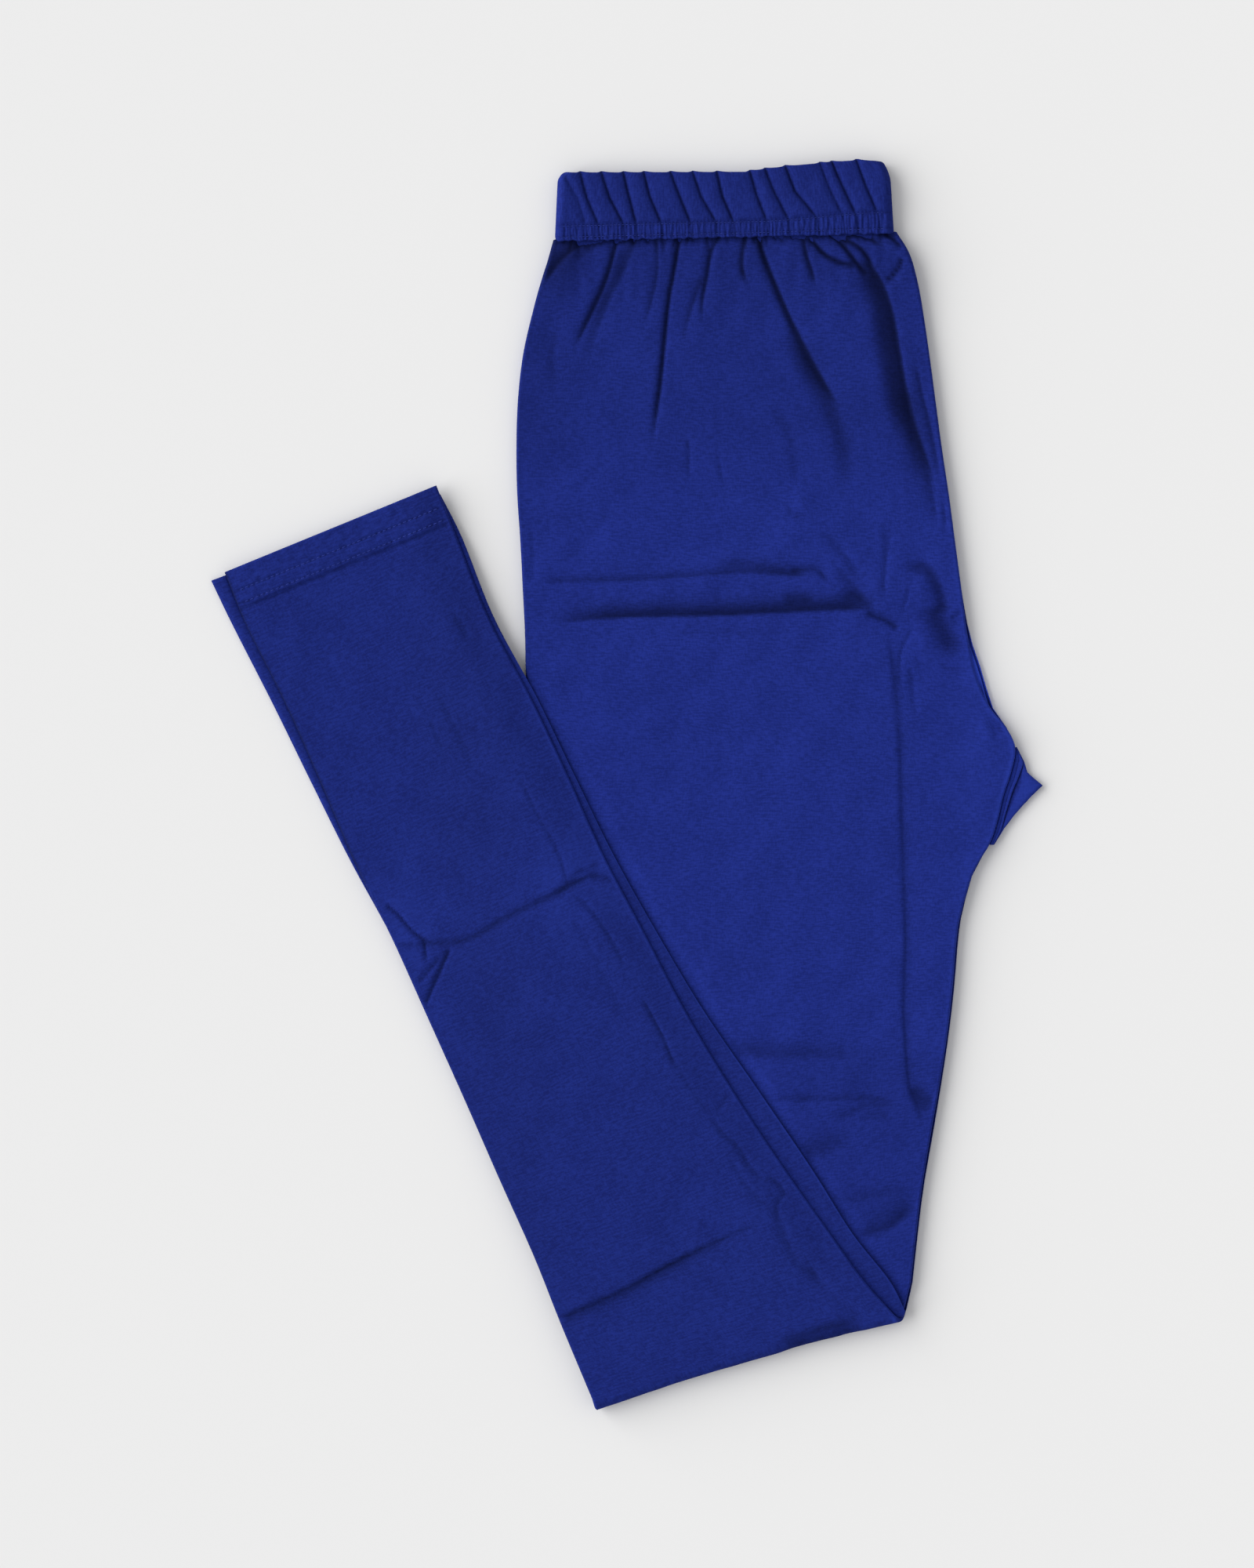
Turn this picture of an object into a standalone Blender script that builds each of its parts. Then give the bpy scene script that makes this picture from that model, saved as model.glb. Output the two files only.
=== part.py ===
"""Churidar pants in jersey, folded leg on leg and then with both shins folded back up over the thighs.

+X points to the right of the garment as it lies, +Y to its waist, and +Z up. The tables are in millimetres.
From the floor up the plies are: the right leg's back, two hidden plies, the left leg's back, and then, past the
fold at the bottom, three hidden plies and the right leg's shin on top.
"""

from collections import namedtuple

import bmesh
import bpy
import numpy as np

TO_METRES = 0.001
COLLECTION = "churidar_pants"

PLY = 1.0  # one ply of jersey
GAP = 0.4  # between two plies that lie on each other
BAND_WALL = 2.2  # two plies of jersey over the elastic
FLAT_TOP = 4.8  # top of the four plies of the thighs
WAIST_TOP = 7.6  # the same beside the waistband, which holds them apart
WAIST_RISE = 45.0  # length over which the thighs' top rises to the waistband
SHIN_DROP = 5.2  # how far the shins sink beside the thighs, where they lie on the floor
DROP_RUN = 45.0  # distance over which they sink
FOLD_RADIUS = 4.8
FOLD_INSET = 5.2  # how far inside the fold the left leg's top ply ends
SHIN_ROLL = 2.0
PUFF = 1.3  # how far the cloth stands over its lowest creases
PUFF_RUN = 14.0  # distance from an edge over which it rises
HEM_RISE = 0.9  # the hem is turned up, so it is thicker
CORE_INSET = 3.0  # hidden plies inside the rolled edges of the shown ones
STEP_INSET = 1.9  # the hidden shin ply inside the top shin's rolled edges
GROOVE = 0.5
GROOVE_GAP = 0.1
LEG_COLUMNS = 26
SHIN_COLUMNS = 14
FLAT_EVERY = 5  # a flat stretch keeps one column in this many
FOLD_STEPS = 6
MERGE = 0.00001

FRONT_COLOUR = (0.0139, 0.0272, 0.2086, 1.0)
BAND_COLOUR = (0.0115, 0.0230, 0.1770, 1.0)
ROUGHNESS = 0.82
METALLIC = 0.0

# Cross lines of the four plies, from the waistband to the fold. under_x is the right leg's right edge, and steps
# is how many rows of faces run to the next line.
Thigh = namedtuple("Thigh", "left_x left_y right_x right_y under_x steps")
THIGH = [
    Thigh(-38.0, 275.4, 138.0, 279.4, 138.0, 1),
    Thigh(-40.0, 268.0, 144.0, 270.0, 144.0, 1),
    Thigh(-43.2, 258.0, 147.6, 258.0, 147.6, 2),
    Thigh(-47.2, 244.0, 150.4, 244.0, 150.4, 2),
    Thigh(-52.8, 220.0, 154.0, 220.0, 154.0, 2),
    Thigh(-55.6, 196.0, 157.2, 196.0, 157.2, 1),
    Thigh(-56.4, 172.0, 160.4, 172.0, 160.4, 1),
    Thigh(-56.0, 148.0, 164.0, 148.0, 164.0, 2),
    Thigh(-54.4, 124.0, 167.2, 124.0, 167.2, 5),
    Thigh(-53.2, 100.0, 170.4, 100.0, 170.4, 6),
    Thigh(-52.0, 76.0, 173.6, 76.0, 174.8, 2),
    Thigh(-51.6, 56.0, 177.6, 56.0, 181.4, 1),
    Thigh(-50.1, 40.0, 184.6, 40.0, 186.0, 1),
    Thigh(-48.9, 28.0, 192.0, 28.0, 192.4, 1),
    Thigh(-48.0, 18.0, 196.8, 18.0, 196.8, 1),
    Thigh(-46.8, 6.0, 195.2, 6.0, 195.2, 1),
    Thigh(-45.7, -6.0, 192.0, -6.0, 192.0, 1),
    Thigh(-44.6, -18.0, 189.2, -18.0, 189.2, 1),
    Thigh(-43.4, -30.0, 185.2, -30.0, 185.2, 1),
    Thigh(-42.3, -42.0, 178.0, -42.0, 178.0, 1),
    Thigh(-41.3, -52.0, 174.2, -52.0, 174.4, 1),
    Thigh(-39.8, -68.0, 169.8, -68.0, 170.4, 1),
    Thigh(-37.7, -90.0, 168.0, -80.0, 168.8, 1),
    Thigh(-34.9, -120.0, 166.0, -104.0, 166.8, 2),
    Thigh(-32.0, -150.0, 163.2, -128.0, 164.0, 2),
    Thigh(-29.2, -180.0, 159.6, -152.0, 160.4, 2),
    Thigh(-26.1, -212.0, 155.4, -176.0, 156.4, 1),
    Thigh(-22.9, -246.0, 150.4, -206.0, 151.2, 1),
    Thigh(-20.0, -276.0, 147.2, -232.0, 148.0, 1),
    Thigh(-17.9, -298.0, 144.8, -254.0, 145.6, 1),
]
FOLD_LEFT = (-16.0, -318.9)
FOLD_RIGHT = (144.0, -272.0)
FOLD_BOW = 2.4

# Cross lines of the shins, from the fold to the hem: the right leg's, which lies on top, and the left leg's.
Shin = namedtuple("Shin", "left_x left_y right_x right_y under_left_x under_left_y under_right_x under_right_y")
SHIN = [
    Shin(-17.3, -313.8, 136.0, -270.0, -17.3, -313.8, 141.6, -268.0),
    Shin(-24.8, -296.0, 120.4, -252.4, -24.8, -296.0, 133.6, -252.4),
    Shin(-34.8, -272.0, 103.2, -228.4, -34.8, -272.0, 114.7, -228.4),
    Shin(-47.6, -240.0, 80.4, -196.0, -47.6, -240.0, 94.3, -196.0),
    Shin(-65.6, -200.0, 54.0, -156.0, -65.6, -200.0, 67.1, -156.0),
    Shin(-83.2, -160.0, 30.0, -116.0, -83.2, -160.0, 39.6, -116.0),
    Shin(-101.2, -120.0, 9.0, -76.0, -101.2, -120.0, 15.6, -76.0),
    Shin(-119.2, -80.0, -12.4, -35.2, -119.2, -80.0, -7.2, -35.2),
    Shin(-138.8, -40.0, -30.4, 4.8, -140.8, -40.0, -26.8, 4.8),
    Shin(-156.0, 0.0, -49.4, 44.8, -160.8, 0.0, -46.2, 44.8),
    Shin(-173.8, 40.0, -70.5, 84.8, -180.4, 40.0, -67.6, 84.8),
    Shin(-193.8, 80.0, -86.5, 125.2, -200.8, 80.0, -83.8, 125.2),
    Shin(-204.8, 107.0, -96.8, 151.2, -212.0, 103.2, -94.8, 147.2),
]
SHIN_STEPS = 2
HEM_SHARES = (0.34, 0.39, 0.7, 1.0)  # extra cross lines in the last stretch: the hem starts at the second
HEM_LINES = 3

# Troughs pressed or gathered into the cloth, each through three points.
Crease = namedtuple("Crease", "x1 y1 x2 y2 x3 y3 half_width depth")
SEAT_CREASES = [
    Crease(-24.0, 275.0, -34.0, 266.0, -41.2, 255.2, 4.0, 0.8),
    Crease(-5.6, 275.0, -18.0, 242.0, -27.6, 220.0, 3.0, 1.0),
    Crease(4.0, 275.0, -10.0, 246.0, -24.8, 200.0, 3.5, 0.5),
    Crease(15.2, 275.0, 12.0, 244.0, 7.2, 228.0, 3.0, 0.5),
    Crease(26.4, 276.0, 19.2, 220.0, 12.8, 168.0, 3.0, 1.1),
    Crease(46.0, 276.0, 40.0, 256.0, 38.4, 232.8, 3.0, 0.8),
    Crease(60.4, 278.8, 59.0, 266.0, 62.0, 254.0, 2.5, 0.8),
    Crease(67.2, 276.8, 80.0, 244.0, 109.2, 190.0, 4.0, 1.2),
    Crease(89.6, 278.8, 94.4, 262.0, 98.0, 246.0, 3.0, 0.7),
    Crease(94.0, 275.2, 104.0, 268.0, 116.8, 263.2, 3.0, 0.6),
    Crease(108.0, 275.2, 119.2, 263.2, 130.8, 246.0, 3.0, 0.9),
    Crease(122.0, 264.0, 136.0, 220.0, 148.0, 160.0, 6.0, 1.2),
    Crease(145.2, 180.0, 156.0, 144.0, 158.8, 128.0, 3.0, 0.8),
    Crease(140.0, 272.0, 138.0, 262.0, 131.2, 255.2, 3.0, 0.6),
    Crease(110.0, 184.0, 112.0, 160.0, 110.0, 140.0, 4.0, 0.5),
    Crease(81.2, 140.0, 98.0, 130.0, 120.0, 98.0, 3.5, 0.6),
    Crease(-44.0, 103.2, 40.0, 106.0, 98.0, 108.8, 3.0, 0.8),
    Crease(-48.0, 82.0, 20.0, 85.6, 120.0, 88.8, 4.0, 1.2),
    Crease(120.0, 88.8, 128.0, 86.0, 134.0, 81.2, 4.0, 1.0),
    Crease(140.0, 109.2, 152.0, 109.2, 162.0, 94.0, 3.5, 0.8),
    Crease(150.0, 88.0, 160.0, 80.0, 170.0, 66.0, 5.0, 0.9),
    Crease(132.0, 140.0, 136.0, 60.0, 140.0, -20.0, 4.5, 0.8),
    Crease(140.0, -20.0, 142.0, -110.0, 148.0, -160.0, 4.5, 0.7),
    Crease(52.0, -137.0, 90.0, -139.0, 112.0, -137.0, 5.0, 0.6),
    Crease(144.0, -154.0, 152.0, -163.0, 158.0, -172.0, 6.0, 0.8),
    Crease(92.0, -192.0, 104.0, -186.0, 132.0, -180.0, 5.0, 0.7),
    Crease(120.0, -228.0, 132.0, -227.0, 146.0, -216.0, 4.0, 0.5),
]
SHIN_CREASES = [
    Crease(-122.8, -61.2, -102.0, -80.0, -80.0, -80.0, 4.5, 1.0),
    Crease(-80.0, -80.0, -40.0, -57.0, -14.0, -46.0, 4.5, 1.0),
    Crease(-89.6, -84.0, -96.0, -98.0, -102.8, -112.0, 4.0, 0.8),
    Crease(-20.0, -62.0, -4.0, -86.0, 0.0, -96.0, 4.0, 0.5),
    Crease(-34.0, -271.2, 20.0, -244.8, 70.0, -222.0, 4.5, 1.0),
    Crease(44.0, -172.0, 60.0, -190.0, 64.0, -196.0, 4.5, 0.8),
    Crease(74.0, -202.0, 76.0, -216.0, 88.0, -244.0, 5.0, 0.9),
    Crease(100.0, -246.0, 108.0, -258.0, 116.0, -266.0, 4.5, 0.8),
]

# The waistband's edges, and its pleats as x at the upper and at the lower edge and how deep each line is.
BAND_LOWER = ((-36.8, 276.0), (136.0, 280.0))
BandTop = namedtuple("BandTop", "x y")
BAND_UPPER = [
    BandTop(-35.2, 311.2), BandTop(60.0, 311.6), BandTop(80.0, 314.4),
    BandTop(104.0, 316.6), BandTop(118.0, 317.6), BandTop(134.0, 316.8),
]
BAND_RIGHT_SLANT = 3.4
BAND_LEFT_SLANT = 1.6
SCALLOP = 0.8
Pleat = namedtuple("Pleat", "top_x low_x depth")
PLEATS = [
    Pleat(-32.8, -21.2, 0.6), Pleat(-24.0, -14.8, 0.8), Pleat(-13.2, -2.0, 0.8), Pleat(-2.0, 4.8, 0.8),
    Pleat(8.4, 17.2, 0.8), Pleat(22.0, 32.0, 0.8), Pleat(33.2, 44.8, 0.8), Pleat(45.6, 54.0, 0.8),
    Pleat(62.4, 70.8, 0.8), Pleat(70.0, 82.0, 0.7), Pleat(80.4, 96.0, 0.8), Pleat(97.2, 110.0, 0.6),
    Pleat(104.0, 116.0, 0.8), Pleat(116.4, 128.4, 0.8),
]
PLEAT_HALF_WIDTH = 1.9
BAND_STATIONS = 56
BAND_UNDER_STATIONS = 10
BAND_HALF = 4.4  # half the waistband's height off the floor
BAND_TURN = (0.0, 30.0, 60.0)
BandEdge = namedtuple("BandEdge", "share depth")  # share of the band's height, and share of its wall
BAND_EDGES = [
    BandEdge(0.0, 0.4), BandEdge(0.02, 0.1), BandEdge(0.08, 0.0), BandEdge(0.36, 0.0),
    BandEdge(0.64, 0.0), BandEdge(0.92, 0.0), BandEdge(0.98, 0.1), BandEdge(1.0, 0.4),
]

# Cross lines of the hidden plies inside the waistband, from its upper edge down.
BandCore = namedtuple("BandCore", "left_x left_y right_x right_y")
BAND_CORE = [
    BandCore(-30.0, 307.5, 127.0, 311.5),
    BandCore(-30.0, 292.0, 127.0, 296.0),
    BandCore(-30.0, 276.7, 127.0, 280.7),
]

# Rows of the gusset's corner: the legs' edge, the upper fold's edge and the lower fold's edge.
Corner = namedtuple("Corner", "y leg_x upper_x lower_x")
GUSSET = [
    Corner(15.6, 197.3, 199.0, 199.4),
    Corner(11.2, 197.0, 202.0, 202.6),
    Corner(6.0, 195.8, 200.6, 204.2),
    Corner(2.4, 194.9, 199.2, 208.2),
    Corner(-0.8, 194.1, 197.8, 212.0),
    Corner(-4.4, 193.0, 196.4, 208.2),
    Corner(-8.8, 191.9, 195.0, 204.0),
    Corner(-16.0, 190.3, 192.8, 197.4),
    Corner(-22.8, 188.6, 191.0, 192.2),
    Corner(-28.0, 187.1, 188.6, 189.0),
]
GUSSET_UPPER_Z = 3.4
GUSSET_LOWER_Z = 1.5
ROUND = 0.5

# Depths of a hidden ply's edge, as shares of the plies beside the groove, from the groove outwards.
OUTER_EDGE = (0.3, 1.0, 0.7, 0.2)
INNER_EDGE = (0.4, 0.75, 0.9, 0.98)


def clear_scene():
    """Removes what a new file starts with."""
    for thing in list(bpy.data.objects):
        bpy.data.objects.remove(thing, do_unlink=True)


def smoothstep(x):
    """0 to 1, with no slope at either end."""
    x = np.clip(x, 0.0, 1.0)
    return x * x * (3.0 - 2.0 * x)


def through(values, steps):
    """A smooth curve through the rows of values, with steps[i] points between row i and the next."""
    rows = np.asarray(values, float)
    padded = np.vstack([2 * rows[0] - rows[1], rows, 2 * rows[-1] - rows[-2]])
    out = []
    for i in range(len(rows) - 1):
        before, start, end, after = padded[i : i + 4]
        for t in np.arange(steps[i]) / steps[i]:
            out.append(
                0.5
                * (
                    2 * start
                    + (end - before) * t
                    + (2 * before - 5 * start + 4 * end - after) * t**2
                    + (3 * start - before - 3 * end + after) * t**3
                )
            )
    out.append(rows[-1])
    return np.array(out)


def thigh_left_x(y):
    """x of the thighs' left edge at this y."""
    ys = [row.left_y for row in reversed(THIGH)]
    xs = [row.left_x for row in reversed(THIGH)]
    return np.interp(y, [FOLD_LEFT[1]] + ys, [FOLD_LEFT[0]] + xs)


def shin_right_x(y):
    """x of the lower shin's right edge at this y."""
    return np.interp(y, [row.under_right_y for row in SHIN], [row.under_right_x for row in SHIN])


def thigh_top(y):
    """Height of the four plies, which rises towards the waistband."""
    start = BAND_LOWER[0][1] - WAIST_RISE
    return FLAT_TOP + (WAIST_TOP - FLAT_TOP) * smoothstep((y - start) / WAIST_RISE)


def shin_top(x, y):
    """Height of the top shin, which sinks to the floor past the thighs' left edge."""
    beyond = thigh_left_x(y) - x
    return 2 * FOLD_RADIUS - SHIN_DROP * smoothstep(beyond / DROP_RUN)


def segment_distance(x, y, x1, y1, x2, y2):
    """Distance in plan from a point to a straight line between two others."""
    along = ((x - x1) * (x2 - x1) + (y - y1) * (y2 - y1)) / ((x2 - x1) ** 2 + (y2 - y1) ** 2)
    along = np.clip(along, 0.0, 1.0)
    return np.hypot(x - x1 - along * (x2 - x1), y - y1 - along * (y2 - y1))


def troughs(x, y, creases):
    """How deep the creases press the cloth at this point."""
    deepest = 0.0
    for c in creases:
        distance = min(
            segment_distance(x, y, c.x1, c.y1, c.x2, c.y2),
            segment_distance(x, y, c.x2, c.y2, c.x3, c.y3),
        )
        deepest = max(deepest, c.depth * np.exp(-((distance / c.half_width) ** 2)))
    return deepest


def seat_relief(x, y, edge):
    """Rise of the left leg's cloth, edge being the distance to its nearer side. It is flat under the shins."""
    clear = np.clip((x - shin_right_x(y) - 2.0) / PUFF_RUN, 0.0, 1.0) if y < THIGH[11].left_y else 1.0
    return max(PUFF - troughs(x, y, SEAT_CREASES), 0.0) * smoothstep(edge / PUFF_RUN) * smoothstep(clear)


def shin_relief(x, y, edge):
    """Rise of the top shin's cloth."""
    return max(PUFF - troughs(x, y, SHIN_CREASES), 0.0) * smoothstep(edge / PUFF_RUN)


def rolled(width, roll, columns, outer_every, inner_every):
    """(outer, inner) points of a ply's cross-section, as distance from the left edge and depth under the outer face.

    Both edges roll over by a quarter turn of this radius. Where a face is flat, one column in every is kept.
    """
    angles = np.radians([0.0, 30.0, 60.0, 90.0])
    flat = np.linspace(roll, width - roll, columns + 1)

    def side(radius, first, every):
        kept = flat[[min(every * round(j / every), columns) for j in range(1, columns)]]
        left = [(roll - radius * np.cos(a), roll - radius * np.sin(a)) for a in angles]
        right = [(width - u, d) for u, d in reversed(left)]
        return left + [(u, first) for u in kept] + right

    return side(roll, 0.0, outer_every), side(roll - PLY, PLY, inner_every)


def plan(left, right, distance, bow=0.0):
    """Point in plan this far along the line from left to right, which bows upwards by this much."""
    left, right = np.array(left), np.array(right)
    share = distance / np.linalg.norm(right - left)
    return left + (right - left) * share + np.array([0.0, 4.0 * bow * share * (1.0 - share)])


def width_of(left, right):
    """Length of a cross line."""
    return float(np.hypot(right[0] - left[0], right[1] - left[1]))


def fold_line():
    """(left, right, outward) of the fold's axis, one radius inside its edge."""
    left, right = np.array(FOLD_LEFT), np.array(FOLD_RIGHT)
    along = (right - left) / np.linalg.norm(right - left)
    outward = np.array([along[1], -along[0]])
    return left - outward * FOLD_RADIUS, right - outward * FOLD_RADIUS, outward


def fold_point(flat, outward, radius, angle):
    """A point on the turn round the fold's axis, from -90 degrees under it to 90 degrees over it."""
    across = radius * np.cos(angle)
    return (*(flat + outward * across), FOLD_RADIUS + radius * np.sin(angle))


def wall_body(outer, inner):
    """Faces of a wall between two grids of points of equal size, closed round its rim."""
    rows, columns = len(outer), len(outer[0])
    points = [p for row in outer for p in row] + [p for row in inner for p in row]
    back = rows * columns

    def quad(i, j, k, m):
        return (i * columns + j, i * columns + m, k * columns + m, k * columns + j)

    faces = []
    for i in range(rows - 1):
        for j in range(columns - 1):
            face = quad(i, j, i + 1, j + 1)
            faces.append(face)
            faces.append(tuple(back + v for v in reversed(face)))
        for j in (0, columns - 1):
            a, b = i * columns + j, (i + 1) * columns + j
            faces.append((a, b, back + b, back + a))
    for i in (0, rows - 1):
        for j in range(columns - 1):
            a, b = i * columns + j, i * columns + j + 1
            faces.append((a, b, back + b, back + a))
    return points, faces


def add_solid(name, points, faces, material, collection):
    """One closed body from these faces, facing out."""
    mesh = bpy.data.meshes.new(name)
    mesh.from_pydata([tuple(TO_METRES * float(c) for c in p) for p in points], [], faces)
    shape = bmesh.new()
    shape.from_mesh(mesh)
    bmesh.ops.remove_doubles(shape, verts=shape.verts, dist=MERGE)
    bmesh.ops.dissolve_degenerate(shape, edges=shape.edges, dist=MERGE)
    bmesh.ops.triangulate(shape, faces=shape.faces)
    bmesh.ops.recalc_face_normals(shape, faces=shape.faces)
    if shape.calc_volume(signed=True) < 0:
        bmesh.ops.reverse_faces(shape, faces=shape.faces)
    shape.to_mesh(mesh)
    shape.free()
    mesh.materials.append(material)
    thing = bpy.data.objects.new(name, mesh)
    collection.objects.link(thing)
    return thing


def thigh_lines(steps, right_name):
    """(left, right) of each cross line of the thighs, with this many rows from each line to the next."""
    table = [(r.left_x, r.left_y, getattr(r, right_name), r.right_y) for r in THIGH]
    return [(row[:2], row[2:]) for row in through(table, steps)]


def shin_lines(kind):
    """(left, right) of each cross line of the top shin or the under one."""
    names = ("left_x", "left_y", "right_x", "right_y")
    table = [[getattr(r, kind + name) for name in names] for r in SHIN]
    rows = list(through(table, [SHIN_STEPS] * (len(SHIN) - 1)))[:-SHIN_STEPS]
    start, end = rows[-1], np.array(table[-1])
    rows += [start + (end - start) * share for share in HEM_SHARES]
    return [(row[:2], row[2:]) for row in rows]


def build_left_leg(material, collection):
    """The ply that shows from the waistband down, its edges rolled over the hidden plies."""
    lines = thigh_lines([r.steps for r in THIGH], "right_x")
    axis_left, axis_right, outward = fold_line()
    inward = -outward * (FOLD_INSET - FOLD_RADIUS)
    lines.append((axis_left + inward + (1.0, 0.0), axis_right + inward - (1.0, 0.0)))
    bows = [0.0] * (len(lines) - 2) + [0.5 * FOLD_BOW, FOLD_BOW]
    outer, inner = [], []
    for (left, right), bow in zip(lines, bows):
        width = width_of(left, right)
        top = thigh_top(0.5 * (left[1] + right[1]))
        over, under = rolled(width, 0.5 * (top - GAP), LEG_COLUMNS, 1, FLAT_EVERY)
        row = []
        for u, d in over:
            x, y = plan(left, right, u, bow)
            rise = seat_relief(x, y, min(u, width - u)) if d == 0.0 else 0.0
            row.append((x, y, top - d + rise))
        outer.append(row)
        inner.append([(*plan(left, right, u, bow), top - d) for u, d in under])
    return add_solid("left_leg", *wall_body(outer, inner), material, collection)


def hem_rise(row, rows):
    """The turned-up hem is one ply thicker over the last stretch of the shin."""
    return HEM_RISE if row >= rows - HEM_LINES else 0.0


def build_right_leg(material, collection):
    """The ply that lies underneath, turns up round the fold and shows as the top shin."""
    outer, inner = [], []
    for left, right in thigh_lines([1] * (len(THIGH) - 1), "under_x"):
        top = thigh_top(0.5 * (left[1] + right[1]))
        width = width_of(left, right)
        over, under = rolled(width, 0.5 * (top - GAP), SHIN_COLUMNS, FLAT_EVERY, FLAT_EVERY)
        outer.append([(*plan(left, right, u), d) for u, d in over])
        inner.append([(*plan(left, right, u), d) for u, d in under])
    left, right, outward = fold_line()
    shin_end = np.array([SHIN[0].right_x, SHIN[0].right_y])
    for step in range(FOLD_STEPS + 1):
        share = step / FOLD_STEPS
        angle = np.radians(-90.0 + 180.0 * share)
        end = right + (shin_end - right) * share
        over, under = rolled(width_of(left, end), SHIN_ROLL, SHIN_COLUMNS, 1, 1)
        for side, into in ((over, outer), (under, inner)):
            into.append(
                [fold_point(plan(left, end, u, FOLD_BOW), outward, FOLD_RADIUS - d, angle) for u, d in side]
            )
    lines = shin_lines("")[1:]
    for i, (left, right) in enumerate(lines):
        width = width_of(left, right)
        bow = FOLD_BOW * max(0.0, 1.0 - i / SHIN_STEPS)
        over, under = rolled(width, SHIN_ROLL, SHIN_COLUMNS, 1, 1)
        row = []
        for u, d in over:
            x, y = plan(left, right, u, bow)
            rise = shin_relief(x, y, min(u, width - u)) + hem_rise(i, len(lines)) if d == 0.0 else 0.0
            row.append((x, y, shin_top(x, y) - d + rise))
        outer.append(row)
        row = []
        for u, d in under:
            x, y = plan(left, right, u, bow)
            row.append((x, y, shin_top(x, y) - d))
        inner.append(row)
    return add_solid("right_leg", *wall_body(outer, inner), material, collection)


def layered(width, depth, step_left, step_right, every):
    """(outer, inner) points of the hidden plies, stepped on the outer side and grooved between two plies.

    Where they are flat, one column in every is kept.
    """
    rest = depth - PLY
    groove = PLY + 0.5 * rest

    def columns(first, last):
        flat = np.linspace(first, last, SHIN_COLUMNS + 1)
        return flat[[min(every * round(j / every), SHIN_COLUMNS) for j in range(SHIN_COLUMNS + 1)]]

    def outer_edge(step):
        lip, shelf, rise, crest = OUTER_EDGE
        return [
            (GROOVE, groove - GROOVE_GAP),
            (0.0, PLY + lip * (groove - PLY)),
            (ROUND, shelf * PLY),
            (step, rise * PLY),
            (step + 0.5 * ROUND, crest * PLY),
        ]

    def inner_edge():
        lip, side, turn, foot = INNER_EDGE
        return [
            (GROOVE, groove + GROOVE_GAP),
            (0.0, PLY + rest * lip + 2 * GROOVE_GAP),
            (0.0, PLY + rest * side),
            (0.5 * ROUND, PLY + rest * turn),
            (ROUND, PLY + rest * foot),
        ]

    def both(left, middle, right):
        return left + middle + [(width - u, d) for u, d in reversed(right)]

    over = [(u, 0.0) for u in columns(step_left + ROUND, width - step_right - ROUND)]
    under = [(u, depth) for u in columns(2 * ROUND, width - 2 * ROUND)]
    return (
        both(outer_edge(step_left), over, outer_edge(step_right)),
        both(inner_edge(), under, inner_edge()),
    )


def build_inner_layers(material, collection):
    """The hidden plies: two in the thighs, and three in the shins, of which the left leg's shin shows at its edges."""
    outer, inner = [], []
    lower = BAND_WALL + GAP
    for line in BAND_CORE:
        left, right = line[:2], line[2:]
        over, under = layered(
            width_of(left, right), 2 * (BAND_HALF - lower), 2 * ROUND, 2 * ROUND, FLAT_EVERY
        )
        outer.append([(*plan(left, right, u), lower + d) for u, d in over])
        inner.append([(*plan(left, right, u), lower + d) for u, d in under])
    for left, right in thigh_lines([1] * (len(THIGH) - 1), "right_x")[1:]:
        left, right = np.array(left), np.array(right)
        along = (right - left) / np.linalg.norm(right - left)
        left, right = left + along * CORE_INSET, right - along * CORE_INSET
        depth = thigh_top(0.5 * (left[1] + right[1])) - 2 * (PLY + GAP)
        over, under = layered(width_of(left, right), depth, 2 * ROUND, 2 * ROUND, FLAT_EVERY)
        outer.append([(*plan(left, right, u), PLY + GAP + d) for u, d in over])
        inner.append([(*plan(left, right, u), PLY + GAP + d) for u, d in under])
    left, right, outward = fold_line()
    along = (right - left) / np.linalg.norm(right - left)
    first_left, first_right = left + along * CORE_INSET, right - along * CORE_INSET
    radius = FOLD_RADIUS - PLY - GAP
    under_end = np.array([SHIN[0].under_right_x, SHIN[0].under_right_y])
    top_end = np.array([SHIN[0].right_x, SHIN[0].right_y])
    for step in range(FOLD_STEPS + 1):
        share = step / FOLD_STEPS
        angle = np.radians(-90.0 + 180.0 * share)
        start = first_left + (left - first_left) * share
        end = first_right + (under_end - first_right) * share
        step_right = 2 * ROUND + share * (width_of(top_end, under_end) + STEP_INSET - 2 * ROUND)
        step_left = 2 * ROUND + share * (STEP_INSET - 2 * ROUND)
        over, under = layered(width_of(start, end), (2 + share) * PLY, step_left, step_right, 1)
        for side, into in ((over, outer), (under, inner)):
            into.append([fold_point(plan(start, end, u, FOLD_BOW), outward, radius - d, angle) for u, d in side])
    tops, unders = shin_lines("")[1:], shin_lines("under_")[1:]
    for i, ((top_left, top_right), (left, right)) in enumerate(zip(tops, unders)):
        width = width_of(left, right)
        bow = FOLD_BOW * max(0.0, 1.0 - i / SHIN_STEPS)
        over, under = layered(
            width,
            3 * PLY,
            width_of(left, top_left) + STEP_INSET,
            width_of(right, top_right) + STEP_INSET,
            1,
        )
        for side, into in ((over, outer), (under, inner)):
            row = []
            for u, d in side:
                x, y = plan(left, right, u, bow)
                row.append((x, y, shin_top(x, y) - PLY - GAP - d))
            into.append(row)
    return add_solid("inner_layers", *wall_body(outer, inner), material, collection)


def pleat_rise(x, share):
    """How far the waistband stands out between its pleat lines, at this share of its height."""
    deepest = 0.0
    for pleat in PLEATS:
        line = pleat.low_x + (pleat.top_x - pleat.low_x) * share
        deepest = max(deepest, pleat.depth * np.exp(-(((x - line) / PLEAT_HALF_WIDTH) ** 2)))
    return SCALLOP - deepest


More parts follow.
